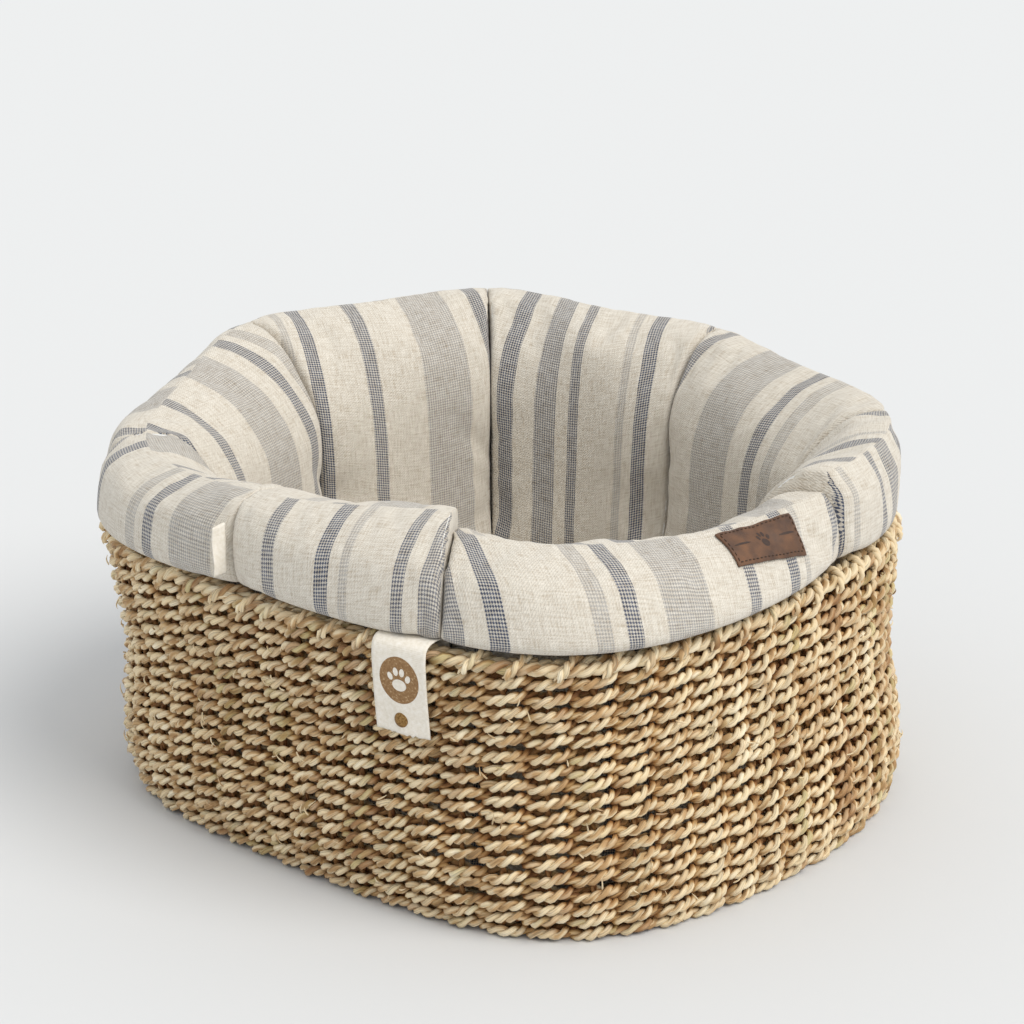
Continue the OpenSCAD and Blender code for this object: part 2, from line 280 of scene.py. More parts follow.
def seagrass_material():
    """Dry twisted seagrass: matte flat leaves that shade from straw to green and pink brown, with painted shade that
    darkens them deep in the weave.
    """
    made, tree, shader = new_material("seagrass_dried_twisted")
    straw = bpy.context.scene.rope_settings.straw
    grain = add(tree, "ShaderNodeAttribute", attribute_name="grain")
    # Fibres run along a leaf: about 0.8 mm across and 20 times as long.
    fibre_way = add(tree, "ShaderNodeMapping", {"Vector": grain.outputs["Vector"], "Scale": (0.05, 1.1, 1.1)})
    fibre = add(tree, "ShaderNodeTexNoise", {"Vector": fibre_way.outputs[0], "Scale": 1.0, "Detail": 3.0})
    # One leaf shows for some 12 mm before the next one takes over.
    leaf_way = add(tree, "ShaderNodeMapping", {"Vector": grain.outputs["Vector"], "Scale": (0.075, 0.16, 0.16)})
    leaf = add(tree, "ShaderNodeTexNoise", {"Vector": leaf_way.outputs[0], "Scale": 1.0, "Detail": 1.5})
    bunch = add(tree, "ShaderNodeTexNoise", {"Vector": grain.outputs["Vector"], "Scale": 0.021, "Detail": 1.0})
    hue = stops(
        add(tree, "ShaderNodeValToRGB", {"Fac": leaf.outputs["Fac"]}),
        (0.30, linear("#a9865c")),
        (0.40, linear("#ccac80")),
        (0.48, (*straw, 1.0)),
        (0.57, linear("#ecd9b4")),
        (0.69, linear("#f6e9cd")),
    )
    tinge = stops(
        add(tree, "ShaderNodeValToRGB", {"Fac": bunch.outputs["Fac"]}),
        (0.34, linear("#c0a184")),
        (0.46, linear("#fffaf0")),
        (0.56, linear("#ffffff")),
        (0.66, linear("#cfcaa0")),
    )
    tinged = add(
        tree, "ShaderNodeMix", {0: 0.75, 6: hue.outputs[0], 7: tinge.outputs[0]},
        data_type="RGBA", blend_type="MULTIPLY",
    )
    streak = stops(
        add(tree, "ShaderNodeValToRGB", {"Fac": fibre.outputs["Fac"]}),
        (0.30, grey(0.42)), (0.47, grey(0.88)), (0.62, grey(1.0)),
    )
    streaked = add(
        tree, "ShaderNodeMix", {0: 0.8, 6: tinged.outputs[2], 7: streak.outputs[0]}, data_type="RGBA",
        blend_type="MULTIPLY",
    )
    # Painted shade: what lies deep in the weave, between and behind the strands, is darkened to brown; what stands out
    # keeps its colour.
    unshaded = add(tree, "ShaderNodeAttribute", attribute_name="unshaded")
    crevice_shade = stops(
        add(tree, "ShaderNodeValToRGB", {"Fac": unshaded.outputs["Fac"]}),
        (0.0, linear("#a5815a")), (0.3, linear("#d8c09d")), (0.6, grey(1.0)),
    )
    final = add(
        tree, "ShaderNodeMix", {0: 1.0, 6: streaked.outputs[2], 7: crevice_shade.outputs[0]}, data_type="RGBA",
        blend_type="MULTIPLY",
    )
    bump = add(tree, "ShaderNodeBump", {"Height": fibre.outputs["Fac"], "Strength": 0.55, "Distance": 0.0009})
    wire(
        tree, shader, Base_Color=final.outputs[2], Normal=bump.outputs[0], Roughness=0.62,
        Specular_IOR_Level=0.35, Sheen_Weight=0.05,
    )
    return made


# Stripes of the cloth over one repeat, in millimetres: start, width and depth of tone.
STRIPE_REPEAT = 334.0
STRIPES = (
    (0, 12, 1.0), (64, 11, 0.42), (84, 10, 0.95), (112, 36, 0.52), (182, 10, 0.9), (225, 10, 1.0), (243, 7, 0.4),
    (281, 8, 0.9), (299, 17, 0.8),
)


def linen_material():
    """Yarn-dyed linen and cotton: slubby cream threads, stripes that show both yarns as a small check."""
    made, tree, shader = new_material("linen_woven_striped")
    settings = bpy.context.scene.linen_settings
    cloth = add(tree, "ShaderNodeUVMap", uv_map="cloth")
    # The map is in metres, so this makes it millimetres.
    thread = add(tree, "ShaderNodeMapping", {"Vector": cloth.outputs[0], "Scale": (1000.0, 1000.0, 1.0)})
    axes = add(tree, "ShaderNodeSeparateXYZ", {"Vector": thread.outputs[0]})
    u, v = axes.outputs[0], axes.outputs[1]

    def calc(operation, a, b=0.0):
        return add(tree, "ShaderNodeMath", {0: a, 1: b}, operation=operation).outputs[0]

    waver = add(tree, "ShaderNodeTexNoise", {"Vector": thread.outputs[0], "Scale": 0.05, "Detail": 1.0})
    drift = calc("MULTIPLY", calc("SUBTRACT", waver.outputs["Fac"], 0.5), 1.2)
    place = calc("DIVIDE", calc("FLOORED_MODULO", calc("ADD", u, drift), STRIPE_REPEAT), STRIPE_REPEAT)
    marks = []
    for start, width, tone in STRIPES:
        marks += [(start / STRIPE_REPEAT, grey(tone)), ((start + width) / STRIPE_REPEAT, grey(0.0))]
    tone = stops(add(tree, "ShaderNodeValToRGB", {"Fac": place}), *marks, constant=True).outputs[0]

    # Twill lines every 2 mm, drawn coarser than the real 1 mm so that they show.
    broken = add(tree, "ShaderNodeTexNoise", {"Vector": thread.outputs[0], "Scale": 0.55, "Detail": 2.0})
    swing = calc("MULTIPLY", broken.outputs["Fac"], 9.0)
    twill = calc("SINE", calc("ADD", calc("MULTIPLY", calc("ADD", u, v), 2 * math.pi / 2.0), swing))
    # The dyed yarn and the cream yarn change places in a check of about 2.6 mm.
    cross = calc("MULTIPLY", calc("SINE", calc("MULTIPLY", calc("ADD", u, v), 2 * math.pi / 3.7)),
                 calc("SINE", calc("MULTIPLY", calc("SUBTRACT", u, v), 2 * math.pi / 3.7)))
    shifted = calc("ADD", calc("MULTIPLY", cross, 0.5), 0.5)
    check = stops(add(tree, "ShaderNodeValToRGB", {"Fac": shifted}), (0.42, grey(0.22)), (0.58, grey(1.0)))

    slub_way = add(tree, "ShaderNodeMapping", {"Vector": thread.outputs[0], "Scale": (0.9, 0.09, 1.0)})
    slub = add(tree, "ShaderNodeTexNoise", {"Vector": slub_way.outputs[0], "Scale": 1.0, "Detail": 4.0})
    slub_across = add(tree, "ShaderNodeMapping", {"Vector": thread.outputs[0], "Scale": (0.09, 0.9, 1.0)})
    slub2 = add(tree, "ShaderNodeTexNoise", {"Vector": slub_across.outputs[0], "Scale": 1.0, "Detail": 4.0})
    heather = calc("MULTIPLY", calc("ADD", slub.outputs["Fac"], slub2.outputs["Fac"]), 0.5)
    ground = stops(
        add(tree, "ShaderNodeValToRGB", {"Fac": heather}),
        (0.34, linear("#bfb3a1")), (0.45, linear("#d2c9bb")), (0.52, (*settings.cream, 1.0)), (0.66, linear("#e6dfd3")),
    )
    dyed = stops(
        add(tree, "ShaderNodeValToRGB", {"Fac": heather}),
        (0.36, linear("#343a4a")), (0.50, (*settings.navy, 1.0)), (0.66, linear("#6f7481")),
    )
    strength = calc("MULTIPLY", tone, check.outputs[0])
    mixed = add(tree, "ShaderNodeMix", {0: strength, 6: ground.outputs[0], 7: dyed.outputs[0]}, data_type="RGBA")
    shade = calc("ADD", calc("MULTIPLY", twill, 0.055), 0.945)
    colour = add(
        tree, "ShaderNodeMix", {0: 1.0, 6: mixed.outputs[2], 7: shade}, data_type="RGBA", blend_type="MULTIPLY"
    )
    weave = calc("ADD", twill, calc("MULTIPLY", heather, 3.0))
    bump = add(tree, "ShaderNodeBump", {"Height": weave, "Strength": 0.4, "Distance": 0.0006})
    wire(
        tree, shader, Base_Color=colour.outputs[2], Normal=bump.outputs[0], Roughness=0.88,
        Specular_IOR_Level=0.2, Sheen_Weight=0.25, Sheen_Roughness=0.5,
    )
    return made


def tape_material():
    """Unbleached cotton tape: fine ribs across it and a soft matte face."""
    made, tree, shader = new_material("cotton_tape_unbleached")
    place = add(tree, "ShaderNodeTexCoord")
    rib = add(tree, "ShaderNodeTexWave", {"Vector": place.outputs["Object"], "Scale": 260.0, "Distortion": 1.5,
                                          "Detail": 2.0}, bands_direction="Z")
    fuzz = add(tree, "ShaderNodeTexNoise", {"Vector": place.outputs["Object"], "Scale": 420.0, "Detail": 3.0})
    colour = stops(
        add(tree, "ShaderNodeValToRGB", {"Fac": fuzz.outputs["Fac"]}),
        (0.3, linear("#e2dacb")), (0.55, linear("#ebe4d8")), (0.75, linear("#f1ece3")),
    )
    height = add(tree, "ShaderNodeMath", {0: rib.outputs["Fac"], 1: fuzz.outputs["Fac"]}, operation="ADD")
    bump = add(tree, "ShaderNodeBump", {"Height": height.outputs[0], "Strength": 0.3, "Distance": 0.0003})
    wire(tree, shader, Base_Color=colour.outputs[0], Normal=bump.outputs[0], Roughness=0.9, Sheen_Weight=0.2)
    return made


def printed_material():
    """Brown pigment printed on cotton: the ribs of the tape still break its surface."""
    made, tree, shader = new_material("pigment_print_brown")
    place = add(tree, "ShaderNodeTexCoord")
    wear = add(tree, "ShaderNodeTexNoise", {"Vector": place.outputs["Object"], "Scale": 700.0, "Detail": 3.0})
    colour = stops(
        add(tree, "ShaderNodeValToRGB", {"Fac": wear.outputs["Fac"]}),
        (0.35, linear("#86643f")), (0.6, linear("#98764f")), (0.72, linear("#c4a985")),
    )
    wire(tree, shader, Base_Color=colour.outputs[0], Roughness=0.85)
    return made


def leather_material():
    """Vegetable-tanned leather: small pebbled grain, darker where it is handled, a low waxy shine."""
    made, tree, shader = new_material("leather_tanned_brown")
    place = add(tree, "ShaderNodeTexCoord")
    # Grain cells of about 0.8 mm.
    pebble = add(tree, "ShaderNodeTexVoronoi", {"Vector": place.outputs["Object"], "Scale": 1250.0},
                 feature="DISTANCE_TO_EDGE")
    cloud = add(tree, "ShaderNodeTexNoise", {"Vector": place.outputs["Object"], "Scale": 90.0, "Detail": 5.0})
    colour = stops(
        add(tree, "ShaderNodeValToRGB", {"Fac": cloud.outputs["Fac"]}),
        (0.30, linear("#412715")), (0.52, linear("#5b3b23")), (0.72, linear("#6f4a2e")),
    )
    height = stops(add(tree, "ShaderNodeValToRGB", {"Fac": pebble.outputs["Distance"]}), (0.0, grey(0)),
                   (0.12, grey(1)))
    bump = add(tree, "ShaderNodeBump", {"Height": height.outputs[0], "Strength": 0.25, "Distance": 0.0002})
    rough = stops(add(tree, "ShaderNodeValToRGB", {"Fac": cloud.outputs["Fac"]}), (0.3, grey(0.42)), (0.7, grey(0.6)))
    wire(tree, shader, Base_Color=colour.outputs[0], Normal=bump.outputs[0], Roughness=rough.outputs[0])
    return made


def plain_material(name, dark, light, scale, roughness, metallic=0.0, strength=0.1):
    """A finish whose colour drifts between two tones, with a fine bump."""
    made, tree, shader = new_material(name)
    place = add(tree, "ShaderNodeTexCoord")
    cloud = add(tree, "ShaderNodeTexNoise", {"Vector": place.outputs["Object"], "Scale": scale, "Detail": 4.0})
    colour = stops(
        add(tree, "ShaderNodeValToRGB", {"Fac": cloud.outputs["Fac"]}), (0.3, linear(dark)), (0.7, linear(light))
    )
    bump = add(tree, "ShaderNodeBump", {"Height": cloud.outputs["Fac"], "Strength": strength, "Distance": 0.0004})
    wire(
        tree, shader, Base_Color=colour.outputs[0], Normal=bump.outputs[0], Roughness=roughness, Metallic=metallic
    )
    return made


MADE = {}


def material(name):
    """The material of that name, made when it is first asked for."""
    makers = {
        "seagrass": seagrass_material,
        "linen": linen_material,
        "tape": tape_material,
        "print": printed_material,
        "leather": leather_material,
        # Aged brass: warm brown with brighter rubbed spots.
        "brass": lambda: plain_material("brass_aged", "#6d4f2b", "#a98654", 900, 0.38, 0.9),
        # Waxed linen thread.
        "thread": lambda: plain_material("thread_waxed_brown", "#24160c", "#4a3220", 2500, 0.7, 0.0, 0.4),
        # Burnt groove of the pressed mark.
        "pressed": lambda: plain_material("leather_pressed_dark", "#2a170c", "#3c2414", 600, 0.5),
        # Loose polyester fibre: white and woolly.
        "fibre": lambda: plain_material("polyester_fibre_loose", "#dcdcd8", "#ffffff", 160, 0.95, 0.0, 1.0),
        # Knitted polyester tape of the zip.
        "zip_tape": lambda: plain_material("polyester_tape_knitted", "#b9ac95", "#d6cbb6", 1800, 0.85, 0.0, 0.4),
        # Moulded nylon monofilament.
        "nylon": lambda: plain_material("nylon_moulded", "#bfb29b", "#d8cdb8", 500, 0.35),
        # Die-cast zinc with an antique brass plate.
        "zinc": lambda: plain_material("zinc_plated_antique", "#7a6a50", "#a8977a", 1200, 0.35, 0.9),
    }
    if name not in MADE:
        MADE[name] = makers[name]()
    return MADE[name]


# ---- making pieces ----


def put(name, mesh, look, body, slot_name, *nodes):
    """Turns a mesh into a named piece that rides on a body and may stand for CAD nodes."""
    mesh.name = name
    obj = bpy.data.objects.new(name, mesh)
    bpy.context.scene.collection.objects.link(obj)
    if look:
        mesh.materials.clear()
        mesh.materials.append(material(look))
    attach(obj, body)
    if nodes:
        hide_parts(*nodes)
    return obj


def put_bmesh(name, shape, look, body, slot_name, *nodes, smooth=True):
    """The same for a bmesh, which is freed."""
    mesh = bpy.data.meshes.new(name)
    for face in shape.faces:
        face.smooth = smooth
    shape.to_mesh(mesh)
    shape.free()
    return put(name, mesh, look, body, slot_name, *nodes)


def baked(obj):
    """Mesh of an object with its modifiers, or of a curve with its bevel; the object is removed."""
    graph = bpy.context.evaluated_depsgraph_get()
    mesh = bpy.data.meshes.new_from_object(obj.evaluated_get(graph), depsgraph=graph)
    bpy.data.objects.remove(obj)
    return mesh


def temporary(name, data):
    obj = bpy.data.objects.new(name, data)
    bpy.context.scene.collection.objects.link(obj)
    return obj


# ---- rope ----


def ripple(along, length, wave, chance, amount=1.0):
    """Smooth random signal along a rope, which closes on itself after its length."""
    total = np.zeros_like(along)
    base = max(length / wave, 1.0)
    for share in (0.55, 0.8, 1.0, 1.3, 1.7):
        turns = max(round(base * share * chance.uniform(0.9, 1.1)), 1)
        total += np.sin(2 * np.pi * turns * along / length + chance.uniform(0, 2 * np.pi))
    return total / 5**0.5 * amount


PLIES = 2
UNEVEN = 0.12


class Rope:
    """Collects the plies of many ropes in one bevelled curve, and remembers each point's place for the grain."""

    def __init__(self, ply_r, sides=1):
        self.curve = bpy.data.curves.new("plies", "CURVE")
        self.curve.dimensions = "3D"
        self.curve.bevel_depth = ply_r * MM
        self.curve.bevel_resolution = sides
        self.curve.use_fill_caps = True
        self.sides = 4 + 2 * sides
        self.ply_r = ply_r
        self.grain = []
        self.count = 0

    def lay(self, points, normals, closed, orbit, lay, chance, end_taper=0.0):
        """Lays a right-hand two-ply rope along points in millimetres, whose normals point out of the weave."""
        points = np.asarray(points, float)
        normals = np.asarray(normals, float)
        if closed:
            steps = np.roll(points, -1, 0) - points
            tangents = np.roll(points, -1, 0) - np.roll(points, 1, 0)
        else:
            steps = np.diff(points, axis=0)
            tangents = np.gradient(points, axis=0)
        hop = np.linalg.norm(steps, axis=1)
        length = hop.sum()
        along = np.concatenate([[0], np.cumsum(hop)])[: len(points)]
        tangents /= np.linalg.norm(tangents, axis=1)[:, None]
        ups = np.cross(normals, tangents)
        ups /= np.linalg.norm(ups, axis=1)[:, None]
        outs = np.cross(tangents, ups)
        turns = max(round(length / lay), 1) if closed else length / lay
        turn = 2 * np.pi * turns * along / length + ripple(along, length, 45, chance, 0.22)
        start = chance.uniform(0, 2 * np.pi)
        for ply in range(PLIES):
            angle = turn + start + 2 * np.pi * ply / PLIES
            reach = orbit * (1 + ripple(along, length, 18, chance, 0.10))
            line = points + (reach * np.cos(angle))[:, None] * outs + (reach * np.sin(angle))[:, None] * ups
            thick = 1 + ripple(along, length, 11, chance, UNEVEN * 0.6)
            thick += ripple(along, length, 4.5, chance, UNEVEN * 0.5)
            if end_taper:
                edge = np.minimum(along, length - along) / end_taper
                thick *= np.clip(0.25 + edge, 0.25, 1.0)
            self.add_ply(line, thick, closed, along)

    def add_ply(self, line, thick, closed, along):
        spline = self.curve.splines.new("POLY")
        spline.points.add(len(line) - 1)
        spline.points.foreach_set("co", np.column_stack([line * MM, np.ones(len(line))]).ravel())
        spline.points.foreach_set("radius", thick)
        spline.use_cyclic_u = closed
        spline.use_smooth = True
        turn = 2 * np.pi * np.arange(self.sides) / self.sides
        spread = np.empty((len(line), self.sides, 3))
        spread[:, :, 0] = along[:, None] + 517.0 * self.count
        spread[:, :, 1] = np.cos(turn)[None, :] * self.ply_r
        spread[:, :, 2] = np.sin(turn)[None, :] * self.ply_r
        self.grain.append(spread.reshape(-1, 3))
        self.count += 1

    def mesh(self, outside=None):
        """The plies as a mesh; outside tells from the points how far each one stands out of the weave, 0 to 1, and the
        seagrass darkens the low ones as painted shade.
        """
        made = baked(temporary("plies", self.curve))
        grain = np.concatenate(self.grain)
        spread = np.zeros((len(made.vertices), 3))
        spread[: len(grain)] = grain[: len(spread)]
        layer = made.attributes.new("grain", "FLOAT_VECTOR", "POINT")
        layer.data.foreach_set("vector", spread.ravel().astype(np.float32))
        # Painted shade: the seagrass darkens the points that lie deep in the weave by this attribute.
        unshaded = np.full(len(made.vertices), 1.0)
        if outside:
            place = np.empty(len(made.vertices) * 3)
            made.vertices.foreach_get("co", place)
            unshaded = outside(place.reshape(-1, 3) / MM)
        layer = made.attributes.new("unshaded", "FLOAT", "POINT")
        layer.data.foreach_set("value", unshaded.astype(np.float32))
        return made


def weave_row(rope, row, chance, settings):
    """One twined row: two strands that pass in front of and behind alternate stakes."""
    z0 = PITCH * (row + 0.5)
    count = 840
    angles = np.arange(count) * 360.0 / count
    radii = np.array([wall_r(angle, z0) for angle in angles])
    rad = np.radians(angles)
    outward = np.column_stack([np.cos(rad), np.sin(rad), np.zeros(count)])
    sag = ripple(rad, 2 * np.pi, 0.9, chance, 0.9)
    lift = 1.0 if row == 0 else 2.1
    for strand in range(2):
        phase = np.radians(angles * STAKES / 2) + math.pi * strand
        swing = np.sign(np.cos(phase)) * np.abs(np.cos(phase)) ** 0.75
        reach = radii + 5.2 * swing + ripple(rad, 2 * np.pi, 0.12, chance, 0.6)
        z = z0 + lift * np.sin(phase) + ripple(rad, 2 * np.pi, 0.13, chance, 0.6) + (sag if row else 0)
        line = outward * reach[:, None]
        line[:, 2] = z
        rope.lay(line, outward, True, settings.orbit / MM, settings.lay / MM, chance)


def standing_out(z):
    """A function that tells how far points near that height stand out of the wall's middle, from 0 to 1, for the
    seagrass's painted shade.
    """
    radii = np.array([wall_r(angle, z) for angle in range(361)])

    def outside(points):
        angle = np.degrees(np.arctan2(points[:, 1], points[:, 0])) % 360
        off = np.abs(np.hypot(points[:, 0], points[:, 1]) - np.interp(angle, np.arange(361), radii))
        return np.clip((off - 1.5) / 5.5, 0, 1)

    return outside


# ---- operators ----


class BASKET_OT_rows(bpy.types.Operator):
    """Twine the wall's rows, each of two seagrass ropes that cross between the stakes"""

    bl_idname = "basket.rows"
    bl_label = "Twined rows"

    def execute(self, context):
        settings = context.scene.rope_settings
        for row in range(ROWS):
            chance = np.random.default_rng(100 + row)
            rope = Rope(settings.ply_r / MM)
            weave_row(rope, row, chance, settings)
            # Points deep in the wall get the seagrass's painted shade.
            mesh = rope.mesh(standing_out(PITCH * (row + 0.5)))
            put(f"twined_row_{row + 1:02d}", mesh, "seagrass", "basket", "seagrass", f"weft_row_{row + 1:02d}")
        return {"FINISHED"}


class BASKET_OT_stakes(bpy.types.Operator):
    """Stand the upright stakes between the strands of the rows"""

    bl_idname = "basket.stakes"
    bl_label = "Stakes"

    def execute(self, context):
        rope = Rope(1.5, sides=0)
        chance = np.random.default_rng(7)
        for stake in range(STAKES):
            angle = 360.0 * stake / STAKES
            heights = np.arange(2.5, WALL_H, 3.2)
            radii = np.array([wall_r(angle, z) for z in heights])
            line = np.column_stack([radii * cosd(angle), radii * sind(angle), heights])
            out = np.tile([cosd(angle), sind(angle), 0.0], (len(line), 1))
            rope.lay(line, out, False, 1.1, 15, chance)
        # Painted shade: every point of the stakes counts as deep in the weave, so they are darkened all over.
        mesh = rope.mesh(lambda points: np.zeros(len(points)))
        put("upright_stakes", mesh, "seagrass", "basket", "seagrass", "wall_stakes")
        return {"FINISHED"}


class BASKET_OT_rim(bpy.types.Operator):
    """Finish the rim with a rope border and the folded stake ends that bind it"""

    bl_idname = "basket.rim"
    bl_label = "Rim"

    def execute(self, context):
        chance = np.random.default_rng(21)
        count = 700
        angles = np.arange(count) * 360.0 / count
        rad = np.radians(angles)
        outward = np.column_stack([np.cos(rad), np.sin(rad), np.zeros(count)])
        radii = np.array([wall_r(angle, WALL_H) for angle in angles])
        border = Rope(2.7)
        for side in (-1, 1):
            line = outward * (radii + side * 3.9)[:, None]
            line[:, 2] = WALL_H + 4.6 + ripple(rad, 2 * np.pi, 0.3, chance, 0.6)
            border.lay(line, outward, True, 2.2, 19, chance)
        put("rope_border", border.mesh(), "seagrass", "basket", "seagrass", "rim_border")

        loops = Rope(1.9)
        for stake in range(STAKES):
            centre = 360.0 * (stake + 0.5) / STAKES + chance.uniform(-0.5, 0.5)
            if abs((centre - TAG_ANGLE + 180) % 360 - 180) < 6:
                continue
            line, out = [], []
            for k in range(19):
                t = k / 18
                lean = centre - 2.6 + 5.2 * t
                turn = math.radians(205 - 230 * t)
                reach = wall_r(lean, WALL_H) - 9.6 * math.cos(turn)
                z = WALL_H + 2.4 + 7.6 * math.sin(turn)
                line.append((reach * cosd(lean), reach * sind(lean), z))
                bend = Vector((-math.cos(turn) * cosd(lean), -math.cos(turn) * sind(lean), math.sin(turn)))
                out.append(tuple(bend))
            loops.lay(line, out, False, 1.5, 15, chance, end_taper=6.0)
        put("folded_stake_ends", loops.mesh(), "seagrass", "basket", "seagrass", "rim_loops")
        return {"FINISHED"}


class BASKET_OT_base(bpy.types.Operator):
    """Twine the base: two spirals of rope with the spokes between them"""

    bl_idname = "basket.base"
    bl_label = "Base"

    def execute(self, context):
        for name, node, z0, seed in (
            ("base_spiral_lower", "base_rounds_lower", 3.7, 31),
            ("base_spiral_upper", "base_rounds_upper", 16.5, 32),
        ):
            chance = np.random.default_rng(seed)
            rope = Rope(2.0, sides=0)
            line, out = [], []
            angle = 0.0
            while True:
                turns = angle / 360
                edge = wall_r(angle, PITCH / 2) - WALL_T / 2 - 5
                share = turns / 24
                if share >= 1:
                    break
                blend = ease((share - 0.5) / 0.5)
                radius = 4 + (edge * blend + 240 * (1 - blend) - 4) * share
                wave = 0.35 * math.sin(math.radians(angle * 15))
                line.append((radius * cosd(angle), radius * sind(angle), z0 + wave))
                out.append((cosd(angle), sind(angle), 0.0))
                angle += math.degrees(4.2 / max(radius, 8))
            rope.lay(line, out, False, 1.5, 20, chance, end_taper=8.0)
            beside = [(x - nx * ROUND_STEP, y - ny * ROUND_STEP, z) for (x, y, z), (nx, ny, _) in zip(line, out)]
            rope.lay(beside[20:], out[20:], False, 1.5, 20, chance, end_taper=8.0)
            put(name, rope.mesh(), "seagrass", "basket", "seagrass", node)

        chance = np.random.default_rng(33)
        spokes = Rope(1.5, sides=0)
        for stake in range(0, STAKES, 2):
            angle = 360.0 * stake / STAKES
            radii = np.arange(18.0, wall_r(angle, PITCH / 2) - WALL_T / 2 - 3, 6.0)
            line = np.column_stack([radii * cosd(angle), radii * sind(angle), np.full(len(radii), 10.0)])
            out = np.tile([0.0, 0.0, 1.0], (len(line), 1))
            spokes.lay(line, out, False, 1.2, 18, chance)
        put("base_spoke_ropes", spokes.mesh(), "seagrass", "basket", "seagrass", "base_spokes")
        return {"FINISHED"}


class BASKET_OT_fibres(bpy.types.Operator):
    """Let a few broken leaf ends stand out of the weave"""

    bl_idname = "basket.fibres"
    bl_label = "Broken leaf ends"

    def execute(self, context):
        chance = np.random.default_rng(55)
        rope = Rope(0.55, sides=0)
        for _ in range(240):
            angle = chance.uniform(0, 360)
            z = PITCH * chance.integers(1, ROWS) + chance.uniform(-3, 3)
            spin = chance.uniform(-0.8, 2.6)
            size = chance.uniform(4, 10)
            line = []
            for k in range(6):
                t = k / 5
                r = wall_r(angle, z) + 8.4 + 1.8 * math.sin(math.pi * t * 0.8)
                step = size * t
                a = angle + math.degrees(step * math.cos(spin) / r)
                line.append((r * cosd(a), r * sind(a), z + step * math.sin(spin)))
            line = np.array(line)
            along = np.linspace(0, size, 6)
            rope.add_ply(line, np.array([0.9, 1.1, 1.0, 0.8, 0.5, 0.2]), False, along)
        put("broken_leaf_ends", rope.mesh(), "seagrass", "basket", "seagrass")
        return {"FINISHED"}


# ---- cushions ----

# Samples of a pad's outer or inner half, and of its narrow floor.
PAD_HALF = 46
PAD_FLOOR = 9
# In millimetres: middle radius of the pads, width of a slice, cloth across the floor, height held still.
PAD_RADIUS = 235
PAD_SLICE = 5.2
FLOOR_RUN = 60
HELD_BELOW = 45
# How much longer than the middle one a slice may be on the cloth, and the seat's room to swell in millimetres.
RUN_CAP = 1.12
SEAT_ROOM = 7
# Where each pad's stripes fall: shift of the outer and of the inner panel along the repeat, in millimetres.
PAD_STRIPES = (
    (128, 115), (60, 277), (190, 164), (95, 146), (72, 200), (227, 96), (139, 34), (300, 220),
)


def seam_after(pad):
    return SEAMS[pad + 1] if pad < 7 else SEAMS[0] + 360


def through(points, count):
    """Smooth line through a few points, with evenly spaced samples."""
    p = np.array(points, float)
    p = np.vstack([2 * p[0] - p[1], p, 2 * p[-1] - p[-2]])
    fine = []
    for i in range(1, len(p) - 2):
        for t in np.linspace(0, 1, 16, endpoint=False):
            fine.append(0.5 * (2 * p[i] + (p[i + 1] - p[i - 1]) * t
                               + (2 * p[i - 1] - 5 * p[i] + 4 * p[i + 1] - p[i + 2]) * t * t
                               + (3 * p[i] - p[i - 1] - 3 * p[i + 1] + p[i + 2]) * t**3))
    fine.append(p[-2])
    fine = np.array(fine)
    along = np.concatenate([[0], np.cumsum(np.linalg.norm(np.diff(fine, axis=0), axis=1))])
    want = np.linspace(0, along[-1], count)
    return np.column_stack([np.interp(want, along, fine[:, k]) for k in range(2)]), along[-1]


def pad_section(pad, angle, inset):
    """Closed section of a pad in its radial plane: from the crest down outside, across, and up inside."""
    a0, a1 = SEAMS[pad], seam_after(pad)
    t = clamp((angle - a0) / (a1 - a0))
    full = math.sin(math.pi * t) ** 0.5
    crest = ring(CREST_H, angle) - 1.5 * (1 - full) - inset * 0.3 * full - PAD_DROP[pad]
    lean = ring(CREST_LEAN, angle) - PAD_PULL[pad] * full**4
    pinch = 1 - 0.14 * (1 - full) - inset / 52
    trim = ring(REACH_TRIM, angle)

    def spot(point):
        off, up = point
        share = max(up, 0)
        squeeze = pinch if up > -60 else 1 - 0.08 * (1 - full) - inset / 70
        reach = SECTION_MID + (off - SECTION_MID) * squeeze + lean * share * share + trim * (off > 0 and up >= 0)
        height = LEDGE_Z + (up * (crest - LEDGE_Z) if up > 0 else up) + (1.5 if 0 <= up < 0.1 else 0)
        return throat(angle) + reach, max(height, BOLSTER_Z0 + 1.0)

    outer, outer_len = through([spot(p) for p in OUTER_HALF], PAD_HALF)
    inner, inner_len = through([spot(p) for p in INNER_HALF], PAD_HALF)
    return outer, inner, outer_len, inner_len


def pad_mesh(pad, inset):
    """Grid of a pad wrapped round its section, how far each point is down the cloth, both in mm, and its counts."""
    a0, a1 = SEAMS[pad], seam_after(pad)
    arc = math.radians(a1 - a0) * PAD_RADIUS
    slices = max(int(arc / PAD_SLICE), 20)
    ring_count = 2 * PAD_HALF + PAD_FLOOR
    places = np.empty((slices + 1, ring_count, 3))
    fall = np.empty((slices + 1, ring_count))
    for i in range(slices + 1):
        angle = a0 + (a1 - a0) * i / slices
        outer, inner, outer_len, inner_len = pad_section(pad, angle, inset)
        floor_t = np.linspace(0, 1, PAD_FLOOR + 2)[1:-1, None]
        floor = outer[-1] * (1 - floor_t) + inner[-1] * floor_t
        loop = np.vstack([outer, floor, inner[::-1]])
        places[i] = np.column_stack([loop[:, 0] * cosd(angle), loop[:, 0] * sind(angle), loop[:, 1]])
        fall[i] = np.concatenate([
            np.linspace(0, outer_len, PAD_HALF), outer_len + FLOOR_RUN * floor_t[:, 0],
            outer_len + FLOOR_RUN + inner_len - np.linspace(0, inner_len, PAD_HALF)[::-1],
        ])
    return places, fall, slices, ring_count


